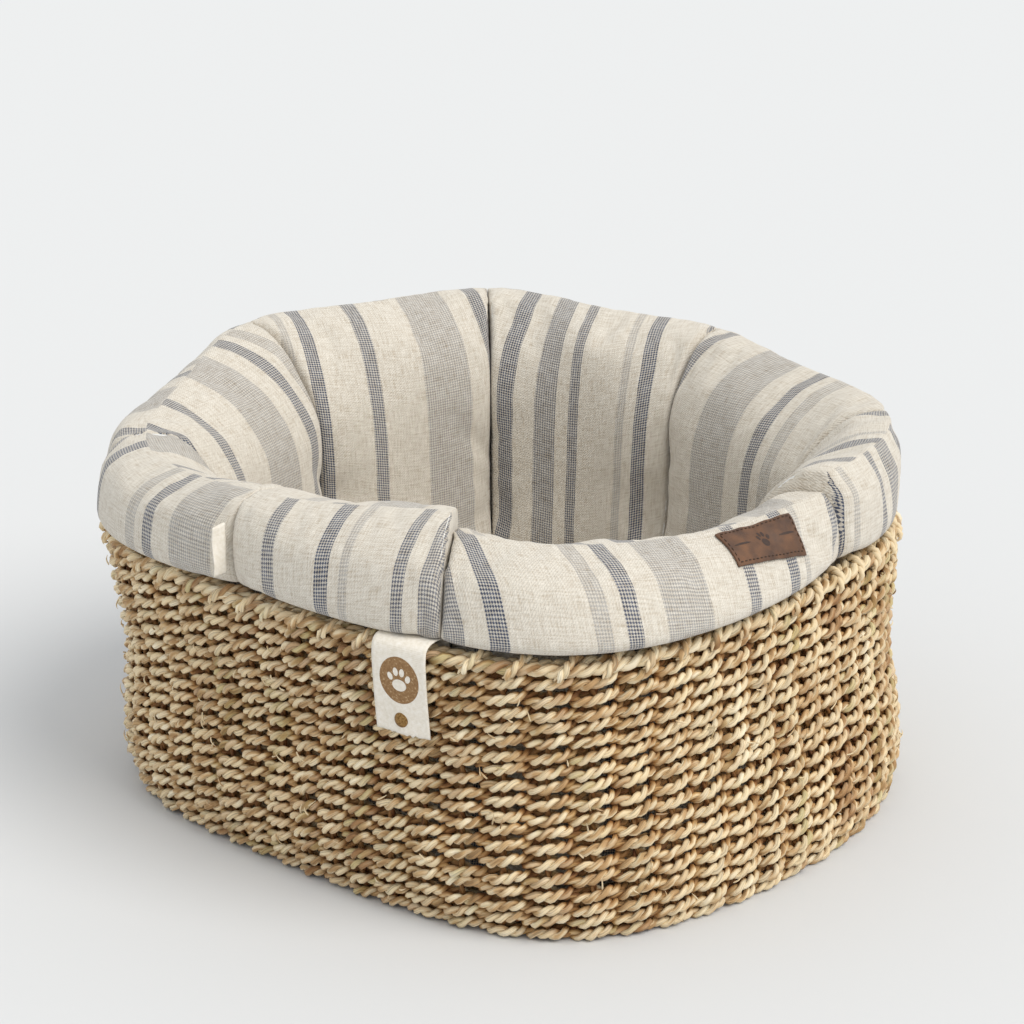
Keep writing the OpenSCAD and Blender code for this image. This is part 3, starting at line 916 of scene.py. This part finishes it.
def wrapped(places, maps):
    """A grid bent to the given places, an array of rows by columns by three in millimetres, with a cloth map."""
    rows, columns = places.shape[:2]
    shape = bmesh.new()
    bmesh.ops.create_grid(shape, x_segments=rows - 1, y_segments=columns - 1, size=1.0)
    cloth = shape.loops.layers.uv.new("cloth")
    held = shape.verts.layers.int.new("held")
    shape.verts.index_update()
    at = [
        (round((v.co.x + 1) / 2 * (rows - 1)), round((v.co.y + 1) / 2 * (columns - 1))) for v in shape.verts
    ]
    for face in shape.faces:
        spots = [at[loop.vert.index] for loop in face.loops]
        for loop, spot in zip(face.loops, spots):
            u, v = maps(spot, sum(j for _, j in spots) / len(spots))
            loop[cloth].uv = (u * MM, v * MM)
    for vert, (i, j) in zip(shape.verts, at):
        vert.co = Vector(places[i, j]) * MM
        vert[held] = i * columns + j + 1
    return shape


def tidied(shape, is_held, columns):
    """Merges the grid's meeting edges and returns the indices of the points that stay put."""
    held = shape.verts.layers.int["held"]
    keep = {v for v in shape.verts if is_held(*divmod(v[held] - 1, columns), v.co.z / MM)}
    spots = {v[held] for v in keep}
    bmesh.ops.remove_doubles(shape, verts=shape.verts, dist=0.0001)
    bmesh.ops.recalc_face_normals(shape, faces=shape.faces)
    shape.verts.index_update()
    return [v.index for v in shape.verts if v[held] in spots]


def pad_shape(pad, inset):
    """A pad's cover as a tube of cloth with open ends, and the indices of its sewn points."""
    places, fall, slices, ring_count = pad_mesh(pad, inset)
    run = np.linalg.norm(np.diff(places, axis=0), axis=2)
    run = np.minimum(run, RUN_CAP * np.median(run, axis=0))
    reach = np.vstack([np.zeros(ring_count), np.cumsum(run, axis=0)])
    reach -= reach[slices // 2]
    outer_shift, inner_shift = PAD_STRIPES[pad]

    def maps(spot, column):
        inside = column > PAD_HALF + PAD_FLOOR / 2
        return reach[spot] + (inner_shift if inside else outer_shift), fall[spot]

    shape = wrapped(places, maps)
    pinned = tidied(
        shape, lambda i, j, z: i in (0, slices) or j in (0, ring_count - 1) or z < HELD_BELOW, ring_count
    )
    return shape, pinned


def inflate(obj, pinned, pressure, cap, frames=20, slack=0.02):
    """Swells a closed cloth with air while its seams stay put, and caps how far each point has moved."""
    mesh = obj.data
    rest = np.empty(len(mesh.vertices) * 3)
    mesh.vertices.foreach_get("co", rest)
    rest = rest.reshape(-1, 3)
    group = obj.vertex_groups.new(name="seams")
    group.add(pinned, 1.0, "REPLACE")
    modifier = obj.modifiers.new("cloth", "CLOTH")
    cloth = modifier.settings
    cloth.vertex_group_mass = "seams"
    cloth.use_pressure = True
    cloth.uniform_pressure_force = pressure
    cloth.shrink_min = -slack
    cloth.shrink_max = -slack
    cloth.quality = 5
    cloth.mass = 0.3
    cloth.tension_stiffness = 20
    cloth.compression_stiffness = 12
    cloth.shear_stiffness = 6
    cloth.bending_stiffness = 0.35
    cloth.air_damping = 3
    cloth.effector_weights.gravity = 0
    modifier.point_cache.frame_start = 1
    modifier.point_cache.frame_end = frames
    scene = bpy.context.scene
    for step in range(1, frames + 1):
        scene.frame_set(step)
    graph = bpy.context.evaluated_depsgraph_get()
    moved = obj.evaluated_get(graph).to_mesh()
    now = np.empty(len(mesh.vertices) * 3)
    moved.vertices.foreach_get("co", now)
    now = now.reshape(-1, 3)
    obj.evaluated_get(graph).to_mesh_clear()
    obj.modifiers.remove(modifier)
    obj.vertex_groups.remove(group)
    scene.frame_set(1)
    step = now - rest
    size = np.linalg.norm(step, axis=1)
    size[size == 0] = 1
    kept = cap * np.tanh(size / cap)
    return rest + step * (kept / size)[:, None]


def settle(points):
    """Lets the overhang of a pad sink onto the rim: the lower the cloth hangs, the more it follows."""
    inside = np.array([throat(angle) for angle in range(361)]) * MM
    angle = np.degrees(np.arctan2(points[:, 1], points[:, 0])) % 360
    past = np.hypot(points[:, 0], points[:, 1]) - np.interp(angle, np.arange(361), inside)
    height = points[:, 2] / MM - LEDGE_Z
    sunk = height * (0.15 + 0.85 * height / 40)
    share = np.clip(past / 0.012, 0, 1) * ((height > 0) & (height < 40))
    points[:, 2] += (sunk - height) * share * MM


def keep_clear(points):
    """Keeps a pad's cloth off the wall below the rim, and off the rim where it rests on it."""
    for point in points:
        x, y, z = point
        radius = math.hypot(x, y)
        angle = math.degrees(math.atan2(y, x)) % 360
        inside = (throat(angle) - 0.5) * MM
        if radius > inside and z < (LEDGE_Z + 0.7) * MM:
            if z > (LEDGE_Z - 14) * MM and radius > inside + 0.002:
                point[2] = (LEDGE_Z + 0.7) * MM
            else:
                point[0] *= inside / radius
                point[1] *= inside / radius
        if point[2] < BOLSTER_Z0 * MM:
            point[2] = BOLSTER_Z0 * MM


PADS = {}


class BASKET_OT_bolster(bpy.types.Operator):
    """Stuff the bolster's pads, each of an inner and an outer panel sewn together along the crest"""

    bl_idname = "basket.bolster"
    bl_label = "Bolster"

    def execute(self, context):
        loft = context.scene.linen_settings.loft
        cores = bmesh.new()
        for pad in range(8):
            shape, pinned = pad_shape(pad, 7.0)
            mesh = bpy.data.meshes.new("pad")
            shape.to_mesh(mesh)
            shape.free()
            obj = temporary("pad", mesh)
            pushed = inflate(obj, pinned, 5.0, loft, slack=0.035)
            settle(pushed)
            keep_clear(pushed)
            mesh.vertices.foreach_set("co", pushed.ravel())
            bpy.data.objects.remove(obj)
            shape = bmesh.new()
            shape.from_mesh(mesh)
            caps = bmesh.ops.holes_fill(shape, edges=shape.edges, sides=0)["faces"]
            cloth = shape.loops.layers.uv["cloth"]
            # The pad's ends are plain: all of their map lies between two stripes.
            for cap in caps:
                middle = math.hypot(*cap.calc_center_median().xy)
                for loop in cap.loops:
                    x, y, z = loop.vert.co
                    loop[cloth].uv = (0.038 + 0.4 * (math.hypot(x, y) - middle), z)
            bmesh.ops.triangulate(shape, faces=[f for f in shape.faces if len(f.verts) > 4])
            bmesh.ops.recalc_face_normals(shape, faces=shape.faces)
            core = shape.copy()
            core_mesh = bpy.data.meshes.new("core")
            for vert in core.verts:
                vert.co -= vert.normal * CORE_INSET * MM
            core.to_mesh(core_mesh)
            core.free()
            cores.from_mesh(core_mesh)
            piece = put_bmesh(
                f"bolster_pad_{pad + 1}", shape, "linen", "insert", "striped_linen",
                f"inner_panel_{pad + 1}", f"outer_panel_{pad + 1}",
            )
            smooth_more(piece)
            PADS[pad] = piece
        put_bmesh("fibre_filling", cores, "fibre", "insert", "filling", "bolster_filling")
        return {"FINISHED"}


def smooth_more(obj):
    """A live subdivision that rounds the cloth."""
    modifier = obj.modifiers.new("rounding", "SUBSURF")
    modifier.levels = modifier.render_levels = 1


def section_at(angle, off, up):
    """A point of the long pad's own section, for what is sewn on it."""
    a0, a1 = SEAMS[LONG_PAD], seam_after(LONG_PAD)
    full = math.sin(math.pi * clamp((angle - a0) / (a1 - a0))) ** 0.5
    lean = ring(CREST_LEAN, angle) - PAD_PULL[LONG_PAD] * full**4
    crest = ring(CREST_H, angle) - 9 * (1 - full) - PAD_DROP[LONG_PAD]
    reach = throat(angle) + off + lean * up * up + ring(REACH_TRIM, angle)
    return around(reach, angle, LEDGE_Z + up * (crest - LEDGE_Z))


class BASKET_OT_seat(bpy.types.Operator):
    """Stuff the loose seat cushion and cut the recess in its underside where the zip lies"""

    bl_idname = "basket.seat"
    bl_label = "Seat cushion"

    def execute(self, context):
        spokes, rings = 108, 34
        z_mid = SEAT_Z0 + SEAT_T / 2 + 1
        half = SEAT_T / 2 - SEAT_ROOM
        places = np.empty((spokes + 1, 2 * rings + 1, 3))
        length = np.zeros((spokes + 1, 2 * rings + 1))
        for i in range(spokes + 1):
            angle = 360.0 * (i % spokes) / spokes
            edge = throat(angle) - SEAT_INSET - 5
            for j in range(2 * rings + 1):
                t = abs(j - rings) / rings
                share = (1 - t) ** 0.92
                reach = edge * (share * 0.985 + 0.015)
                rise = (1 - share**5) ** 0.42
                z = z_mid + (half if j > rings else -half) * rise * (1.0 if j <= rings else 0.9 + 0.1 * (1 - share))
                places[i, j] = (reach * cosd(angle), reach * sind(angle), z)
            hops = np.linalg.norm(np.diff(places[i], axis=0), axis=1)
            along = np.concatenate([[0], np.cumsum(hops)])
            length[i] = np.minimum(along, along[-1] - along)

        def maps(spot, column):
            angle = 360.0 * spot[0] / spokes
            return places[spot][0] + 30, length[spot] * sind(angle)

        shape = wrapped(places, maps)
        pinned = tidied(shape, lambda i, j, z: j == rings, 2 * rings + 1)
        bmesh.ops.holes_fill(shape, edges=shape.edges, sides=0)
        bmesh.ops.triangulate(shape, faces=[f for f in shape.faces if len(f.verts) > 4])
        mesh = bpy.data.meshes.new("seat")
        shape.to_mesh(mesh)
        shape.free()
        obj = temporary("seat", mesh)
        pushed = inflate(obj, pinned, 4.0, 0.012, slack=0.01)
        low, high = (SEAT_Z0 + 0.5) * MM, (SEAT_Z0 + SEAT_T) * MM
        pushed[:, 2] = np.clip(pushed[:, 2], low, high)
        for point in pushed:
            radius = math.hypot(point[0], point[1])
            limit = (throat(math.degrees(math.atan2(point[1], point[0])) % 360) - SEAT_INSET + 0.8) * MM
            if radius > limit:
                point[0] *= limit / radius
                point[1] *= limit / radius
        mesh.vertices.foreach_set("co", pushed.ravel())

        recess = bmesh.new()
        bmesh.ops.create_cube(recess, size=1.0)
        bmesh.ops.scale(recess, vec=Vector((ZIP_LEN + 17, PLACKET_W + 1, 2 * ZIP_DEPTH + 1)) * MM, verts=recess.verts)
        bmesh.ops.translate(recess, vec=Vector((0, ZIP_Y, SEAT_Z0)) * MM, verts=recess.verts)
        cutter_mesh = bpy.data.meshes.new("recess")
        recess.to_mesh(cutter_mesh)
        recess.free()
        cutter = temporary("recess", cutter_mesh)
        smooth_more(obj)
        cut = obj.modifiers.new("recess", "BOOLEAN")
        cut.object = cutter
        cut.operation = "DIFFERENCE"
        cut.solver = "EXACT"
        done = baked(obj)
        bpy.data.objects.remove(cutter)
        done.polygons.foreach_set("use_smooth", [True] * len(done.polygons))
        piece = put("seat_cushion_cover", done, "linen", "seat_cushion", "striped_linen", "seat_cover_top",
                    "seat_cover_bottom")

        inner = bmesh.new()
        inner.from_mesh(done)
        inner.normal_update()
        for vert in inner.verts:
            vert.co -= vert.normal * CORE_INSET * MM
        put_bmesh("seat_fibre_filling", inner, "fibre", "seat_cushion", "filling", "seat_filling")
        return {"FINISHED"}


class BASKET_OT_liner(bpy.types.Operator):
    """Cut the cloth floor of the insert"""

    bl_idname = "basket.liner"
    bl_label = "Liner"

    def execute(self, context):
        spokes, rings = 96, 24
        places = np.empty((spokes + 1, rings + 1, 3))
        for i in range(spokes + 1):
            angle = 360.0 * (i % spokes) / spokes
            for j in range(rings + 1):
                reach = (throat(angle) - 12) * (0.01 + 0.99 * j / rings)
                sway = noise.noise(Vector((reach * cosd(angle) * 0.02, reach * sind(angle) * 0.02, 3.0)))
                places[i, j] = (reach * cosd(angle), reach * sind(angle), BASE_T + 1.5 + 0.4 * sway)
        shape = wrapped(places, lambda spot, column: (places[spot][0] + 12, places[spot][1]))
        tidied(shape, lambda i, j, z: False, rings + 1)
        bmesh.ops.holes_fill(shape, edges=[e for e in shape.edges if e.is_boundary and e.verts[0].co.length < 0.1],
                             sides=0)
        bmesh.ops.recalc_face_normals(shape, faces=shape.faces)
        area = sum(face.calc_area() for face in shape.faces)
        piece = put_bmesh("insert_floor_cloth", shape, "linen", "insert", "striped_linen", "insert_liner")
        thick = piece.modifiers.new("thickness", "SOLIDIFY")
        thick.thickness = 0.001
        thick.offset = 0.0
        return {"FINISHED"}


def strip(name, places, look, thickness, body, slot_name, *nodes):
    """A strip of cloth or leather through a grid of places, with its thickness."""
    shape = wrapped(places, lambda spot, column: (spot[0] * 2.0, spot[1] * 2.0))
    tidied(shape, lambda i, j, z: False, places.shape[1])
    bmesh.ops.recalc_face_normals(shape, faces=shape.faces)
    area = sum(face.calc_area() for face in shape.faces)
    piece = put_bmesh(name, shape, look, body, slot_name, *nodes)
    thick = piece.modifiers.new("thickness", "SOLIDIFY")
    thick.thickness = thickness * MM
    thick.offset = 0.0
    return piece, area


def tag_spot(across, out, z):
    """A point in the tag's own directions: across it, out from the wall's middle line, and up."""
    middle = around(wall_r(TAG_ANGLE, RIM_H), TAG_ANGLE, z)
    return middle + Vector((cosd(TAG_FACING), sind(TAG_FACING), 0)) * out * MM + Vector(
        (-sind(TAG_FACING), cosd(TAG_FACING), 0)) * across * MM


def tag_leg(drop):
    """How far out the tag's outer leg hangs, a distance below the rim's top."""
    return 12.6 - 4.2 * clamp((drop - 12) / 50) ** 1.1


# A paw of one large pad and four toes: middle x and y, radii and turn, for a paw 2 units wide.
PAW = ((0, -0.35, 0.62, 0.48, 0), (-0.78, 0.28, 0.22, 0.32, 22), (-0.28, 0.72, 0.22, 0.34, 7),
       (0.28, 0.72, 0.22, 0.34, -7), (0.78, 0.28, 0.22, 0.32, -22))


class BASKET_OT_tag(bpy.types.Operator):
    """Fold the cotton tag over the rim, print its mark and close it with a brass stud"""

    bl_idname = "basket.tag"
    bl_label = "Rim tag"

    def execute(self, context):
        path = [(-15.0, 143), (-15.0, 165), (-14.8, 186), (-13.2, 193.5), (-8.0, 197.0), (0.0, 198.0),
                (8.0, 197.2), (12.0, 193.5), (12.8, 186), (12.6, 180), (11.9, 170), (10.7, 155), (8.8, 134)]
        line, length = through(path, 64)
        count = 20
        places = np.empty((count + 1, len(line), 3))
        for i in range(count + 1):
            across = TAG_W * (i / count - 0.5)
            for j, (out, z) in enumerate(line):
                end = ease((j / len(line) - 0.72) / 0.28)
                curl = 0.9 * end * math.sin(across * 0.17 + 1.0)
                curl += 0.5 * end * noise.noise(Vector((across * 0.2, z * 0.1, 1)))
                ragged = 1.6 * noise.noise(Vector((across * 0.45, 2.0, 5.0))) * ease((j / len(line) - 0.93) / 0.07)
                places[i, j] = tag_spot(across, out + max(curl, -0.8), z + ragged) / MM
        piece, area = strip("cotton_rim_tag", places, "tape", 0.8, "basket", "cotton_tape", "rim_tag")

        tree = BVHTree.FromObject(piece, context.evaluated_depsgraph_get())
        facing = Vector((cosd(TAG_FACING), sind(TAG_FACING), 0))

        def on_tag(x, y, push):
            start = tag_spot(-x, 30, 170 + y)
            hit = tree.ray_cast(start, -facing)
            return hit[0] + facing * push * MM

        badge = bmesh.new()
        disc(badge, on_tag, 0, 1.5, 14.6, 16.0, 0, 0.08, cells=24)
        put_bmesh("tag_print_round", badge, "print", "basket", "cotton_tape")
        paw = bmesh.new()
        for x, y, rx, ry, turn in PAW:
            disc(paw, on_tag, x * 8.4, y * 8.4 + 1.0, rx * 8.4, ry * 8.4, turn, 0.18)
        put_bmesh("tag_print_paw", paw, "tape", "basket", "cotton_tape")

        stud = bmesh.new()
        lathe(stud, [(0, 1.9), (2.6, 1.7), (4.2, 1.1), (4.9, 0.5), (5.1, 0.0), (4.6, -0.35), (1.5, -0.4),
                     (1.5, -23.0), (4.4, -23.4), (4.5, -24.2), (0, -24.4)])
        out = tag_leg(RIM_H + 1 - STUD_Z) + 1.2
        turn = Vector((0, 0, 1)).rotation_difference(facing).to_matrix().to_4x4()
        bmesh.ops.transform(stud, matrix=turn, verts=stud.verts)
        bmesh.ops.translate(stud, vec=tag_spot(0, out, STUD_Z), verts=stud.verts)
        put_bmesh("press_stud_brass", stud, "brass", "basket", "brass", "tag_stud")
        return {"FINISHED"}


def lathe(shape, profile, steps=40):
    """Spins a profile of (radius, height) in millimetres about the upright axis into a closed shape."""
    verts = [shape.verts.new((r * MM, 0, z * MM)) for r, z in profile]
    edges = [shape.edges.new(pair) for pair in zip(verts, verts[1:])]
    bmesh.ops.spin(shape, geom=verts + edges, cent=(0, 0, 0), axis=(0, 0, 1), dvec=(0, 0, 0), angle=2 * math.pi,
                   steps=steps, use_merge=True, use_duplicate=False)
    bmesh.ops.remove_doubles(shape, verts=shape.verts, dist=1e-6)
    bmesh.ops.recalc_face_normals(shape, faces=shape.faces)


def disc(shape, spot, x, y, rx, ry, turn, push, cells=12):
    """A flat oval laid on a surface by a function, fine enough to follow it."""
    for vert in bmesh.ops.create_grid(shape, x_segments=cells, y_segments=cells, size=1.0)["verts"]:
        px = vert.co.x * math.sqrt(1 - vert.co.y**2 / 2) * rx
        py = vert.co.y * math.sqrt(1 - vert.co.x**2 / 2) * ry
        vert.co = spot(x + px * cosd(turn) - py * sind(turn), y + px * sind(turn) + py * cosd(turn), push)


class BASKET_OT_patch(bpy.types.Operator):
    """Sew the leather patch on the front pad"""

    bl_idname = "basket.patch"
    bl_label = "Leather patch"

    def execute(self, context):
        pad = PADS[LONG_PAD]
        tree = BVHTree.FromObject(pad, context.evaluated_depsgraph_get())
        lines = [section_at(PATCH_ANGLE + d, o, u) for d, o, u in ((-8, 12, 0.955), (8, 12, 0.955), (0, 30, 0.74),
                                                                    (0, 22, 0.87))]
        along = (lines[1] - lines[0]).normalized()
        down = (lines[2] - (lines[0] + lines[1]) / 2).normalized()
        out = along.cross(down).normalized()
        if out.z < 0:
            out = -out
        down = (down - along * down.dot(along)).normalized()
        centre = lines[3]

        def on_pad(x, y, push):
            start = centre + along * x * MM + down * y * MM + out * 0.05
            hit = tree.ray_cast(start, -out)
            if hit[0] is None:
                raise RuntimeError("the leather patch misses the front pad")
            return hit[0] + out * push * MM

        nx, ny = 34, 14
        places = np.empty((nx + 1, ny + 1, 3))
        for i in range(nx + 1):
            for j in range(ny + 1):
                x, y = PATCH_LEN * (i / nx - 0.5), PATCH_W * (j / ny - 0.5)
                lift = 1.25 + 0.5 * max(1 - (abs(x) / (PATCH_LEN / 2)) ** 6, 0)
                places[i, j] = on_pad(x, y, lift) / MM
        for _ in range(6):
            places[1:-1, 1:-1] = (places[:-2, 1:-1] + places[2:, 1:-1] + places[1:-1, :-2] + places[1:-1, 2:]) / 4
        piece, _ = strip("leather_name_patch", places, "leather", 1.5, "insert", "leather", "leather_patch")
        bevel = piece.modifiers.new("edge", "BEVEL")
        bevel.width = 0.0004
        bevel.segments = 2
        bevel.limit_method = "ANGLE"

        tree = BVHTree.FromObject(piece, context.evaluated_depsgraph_get())

        def on_leather(x, y, push):
            start = centre + along * x * MM + down * y * MM + out * 0.05
            hit = tree.ray_cast(start, -out)
            return (hit[0] if hit[0] else start - out * 0.05) + out * push * MM

        stitches = bmesh.new()
        x_end, y_end = PATCH_LEN / 2 - 2.0, PATCH_W / 2 - 2.0
        spots = []
        for k in range(17):
            x = -x_end + 2 * x_end * (k + 0.5) / 17
            spots += [(x, -y_end, 1, 0), (x, y_end, 1, 0)]
        for k in range(6):
            y = -y_end + 2 * y_end * (k + 0.5) / 6
            spots += [(-x_end, y, 0, 1), (x_end, y, 0, 1)]
        for x, y, dx, dy in spots:
            a, b = on_leather(x - dx * 1.25, y - dy * 1.25, -0.1), on_leather(x + dx * 1.25, y + dy * 1.25, -0.1)
            made = bmesh.ops.create_icosphere(stitches, subdivisions=1, radius=0.0005)["verts"]
            bmesh.ops.scale(stitches, vec=(1, 0.9, 2.7), verts=made)
            turn = Vector((0, 0, 1)).rotation_difference((b - a).normalized()).to_matrix().to_4x4()
            bmesh.ops.transform(stitches, matrix=turn, verts=made)
            bmesh.ops.translate(stitches, vec=(a + b) / 2 + out * 0.00025, verts=made)
        put_bmesh("patch_stitches", stitches, "thread", "insert", "leather")

        mark = bmesh.new()
        for x, y, rx, ry, turn in PAW:
            disc(mark, on_leather, x * 6.0, -y * 6.0, rx * 6.0, ry * 6.0, -turn, 0.07)
        for x in (-21, 21):
            disc(mark, on_leather, x, 0, 7.5, 0.8, 0, 0.07)
        put_bmesh("patch_pressed_paw", mark, "pressed", "insert", "leather")

        a = SEAMS[5]
        label = np.empty((23, 22, 3))
        for i in range(23):
            turn = math.pi * (i / 22 - 0.5)
            reach = 10.0 * (1 - abs(i - 11) / 11) ** 0.9
            for j in range(22):
                wave = 0.8 * math.sin(j * 0.33) * reach / 10 + 0.55 * math.sin(turn)
                base = around(throat(a) + 33.0 + reach, a, LEDGE_Z + 12 + 34 * j / 21 - 0.15 * reach)
                label[i, j] = (base + Vector((-sind(a), cosd(a), 0)) * (wave * MM)) / MM
        piece, area = strip("seam_ribbon_label", label, "tape", 0.45, "insert", "cotton_tape", "seam_label")
        return {"FINISHED"}


class BASKET_OT_zip(bpy.types.Operator):
    """Finish the zip under the seat cushion and wind its coil"""

    bl_idname = "basket.zip"
    bl_label = "Zip"

    def execute(self, context):
        for node in ("zip_tape", "zip_stops", "zip_slider", "zip_pull"):
            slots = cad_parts[node].data.materials
            slots.clear()
            slots.append(material("zip_tape" if node == "zip_tape" else "zinc"))
        coil = Rope(0.42, sides=0)
        turns = int(ZIP_LEN / 1.5)
        t = np.arange(turns * 7 + 1) / 7
        line = np.column_stack([
            ZIP_LEN * (t / turns - 0.5), ZIP_Y + 0.85 * np.cos(2 * np.pi * t), COIL_Z + 0.85 * np.sin(2 * np.pi * t),
        ])
        coil.add_ply(line, np.ones(len(line)), False, t * 5.5)
        put("zip_coil_nylon", coil.mesh(), "nylon", "seat_cushion", "nylon", "zip_coil")
        return {"FINISHED"}


class BASKET_OT_stage(bpy.types.Operator):
    """Set the floor, the backdrop, the lights and the camera"""

    bl_idname = "basket.stage"
    bl_label = "Stage"

    def execute(self, context):
        settings = context.scene.studio_settings
        floor = bmesh.new()
        bmesh.ops.create_grid(floor, x_segments=1, y_segments=1, size=40.0)
        mesh = bpy.data.meshes.new("floor")
        floor.to_mesh(mesh)
        floor.free()
        stage = temporary("floor", mesh)
        made, tree, shader = new_material("paper_matte_grey")
        tint = (0.972 * settings.floor, 0.985 * settings.floor, settings.floor, 1.0)
        wire(tree, shader, Base_Color=tint, Roughness=1.0, Specular_IOR_Level=0.0)
        mesh.materials.append(made)

        world = bpy.data.worlds.new("studio")
        world.use_nodes = True
        sky = world.node_tree.nodes["Background"]
        sky.inputs[0].default_value = (*settings.grey, 1.0)
        sky.inputs[1].default_value = 1.0
        context.scene.world = world

        sun = bpy.data.lights.new("window", "SUN")
        sun.energy = settings.key
        sun.angle = math.radians(38)
        sun.color = (1.0, 0.965, 0.91)
        obj = temporary("window", sun)
        obj.rotation_euler = (-Vector((0.95, -0.6, 1.35))).to_track_quat("-Z", "Y").to_euler()

        camera = bpy.data.cameras.new("camera")
        camera.lens = 99.2
        camera.sensor_width = 36.0
        camera.shift_x = 0.003
        camera.shift_y = 0.113
        camera.clip_end = 50.0
        obj = temporary("camera", camera)
        tilt, distance, target = math.radians(22), 2.0, Vector((*CENTRE, 110)) * MM
        obj.location = target + Vector((0, -distance * math.cos(tilt), distance * math.sin(tilt)))
        obj.rotation_euler = (math.pi / 2 - tilt, 0, 0)
        context.scene.camera = obj
        context.scene.view_settings.view_transform = "Standard"
        return {"FINISHED"}


class BASKET_PT_panel(bpy.types.Panel):
    """Lists the steps that build the basket"""

    bl_label = "Pet Basket"
    bl_idname = "BASKET_PT_panel"
    bl_space_type = "VIEW_3D"
    bl_region_type = "UI"
    bl_category = "Pet Basket"

    def draw(self, context):
        for group in ("rope_settings", "linen_settings", "studio_settings"):
            settings = getattr(context.scene, group)
            box = self.layout.box()
            for name in settings.__annotations__:
                box.prop(settings, name)
        for step in STEPS:
            self.layout.operator(step.bl_idname)


SETTINGS = (RopeSettings, LinenSettings, StudioSettings)
STEPS = (
    BASKET_OT_stage,
    BASKET_OT_base,
    BASKET_OT_stakes,
    BASKET_OT_rows,
    BASKET_OT_rim,
    BASKET_OT_fibres,
    BASKET_OT_tag,
    BASKET_OT_bolster,
    BASKET_OT_patch,
    BASKET_OT_seat,
    BASKET_OT_liner,
    BASKET_OT_zip,
)


def register():
    for cls in (*SETTINGS, *STEPS, BASKET_PT_panel):
        bpy.utils.register_class(cls)
    bpy.types.Scene.rope_settings = bpy.props.PointerProperty(type=RopeSettings)
    bpy.types.Scene.linen_settings = bpy.props.PointerProperty(type=LinenSettings)
    bpy.types.Scene.studio_settings = bpy.props.PointerProperty(type=StudioSettings)


def unregister():
    del bpy.types.Scene.studio_settings
    del bpy.types.Scene.linen_settings
    del bpy.types.Scene.rope_settings
    for cls in reversed((*SETTINGS, *STEPS, BASKET_PT_panel)):
        bpy.utils.unregister_class(cls)


def main():
    """Builds everything."""
    register()
    for step in STEPS:
        group, name = step.bl_idname.split(".")
        getattr(getattr(bpy.ops, group), name)()


if __name__ == "__main__":
    main()
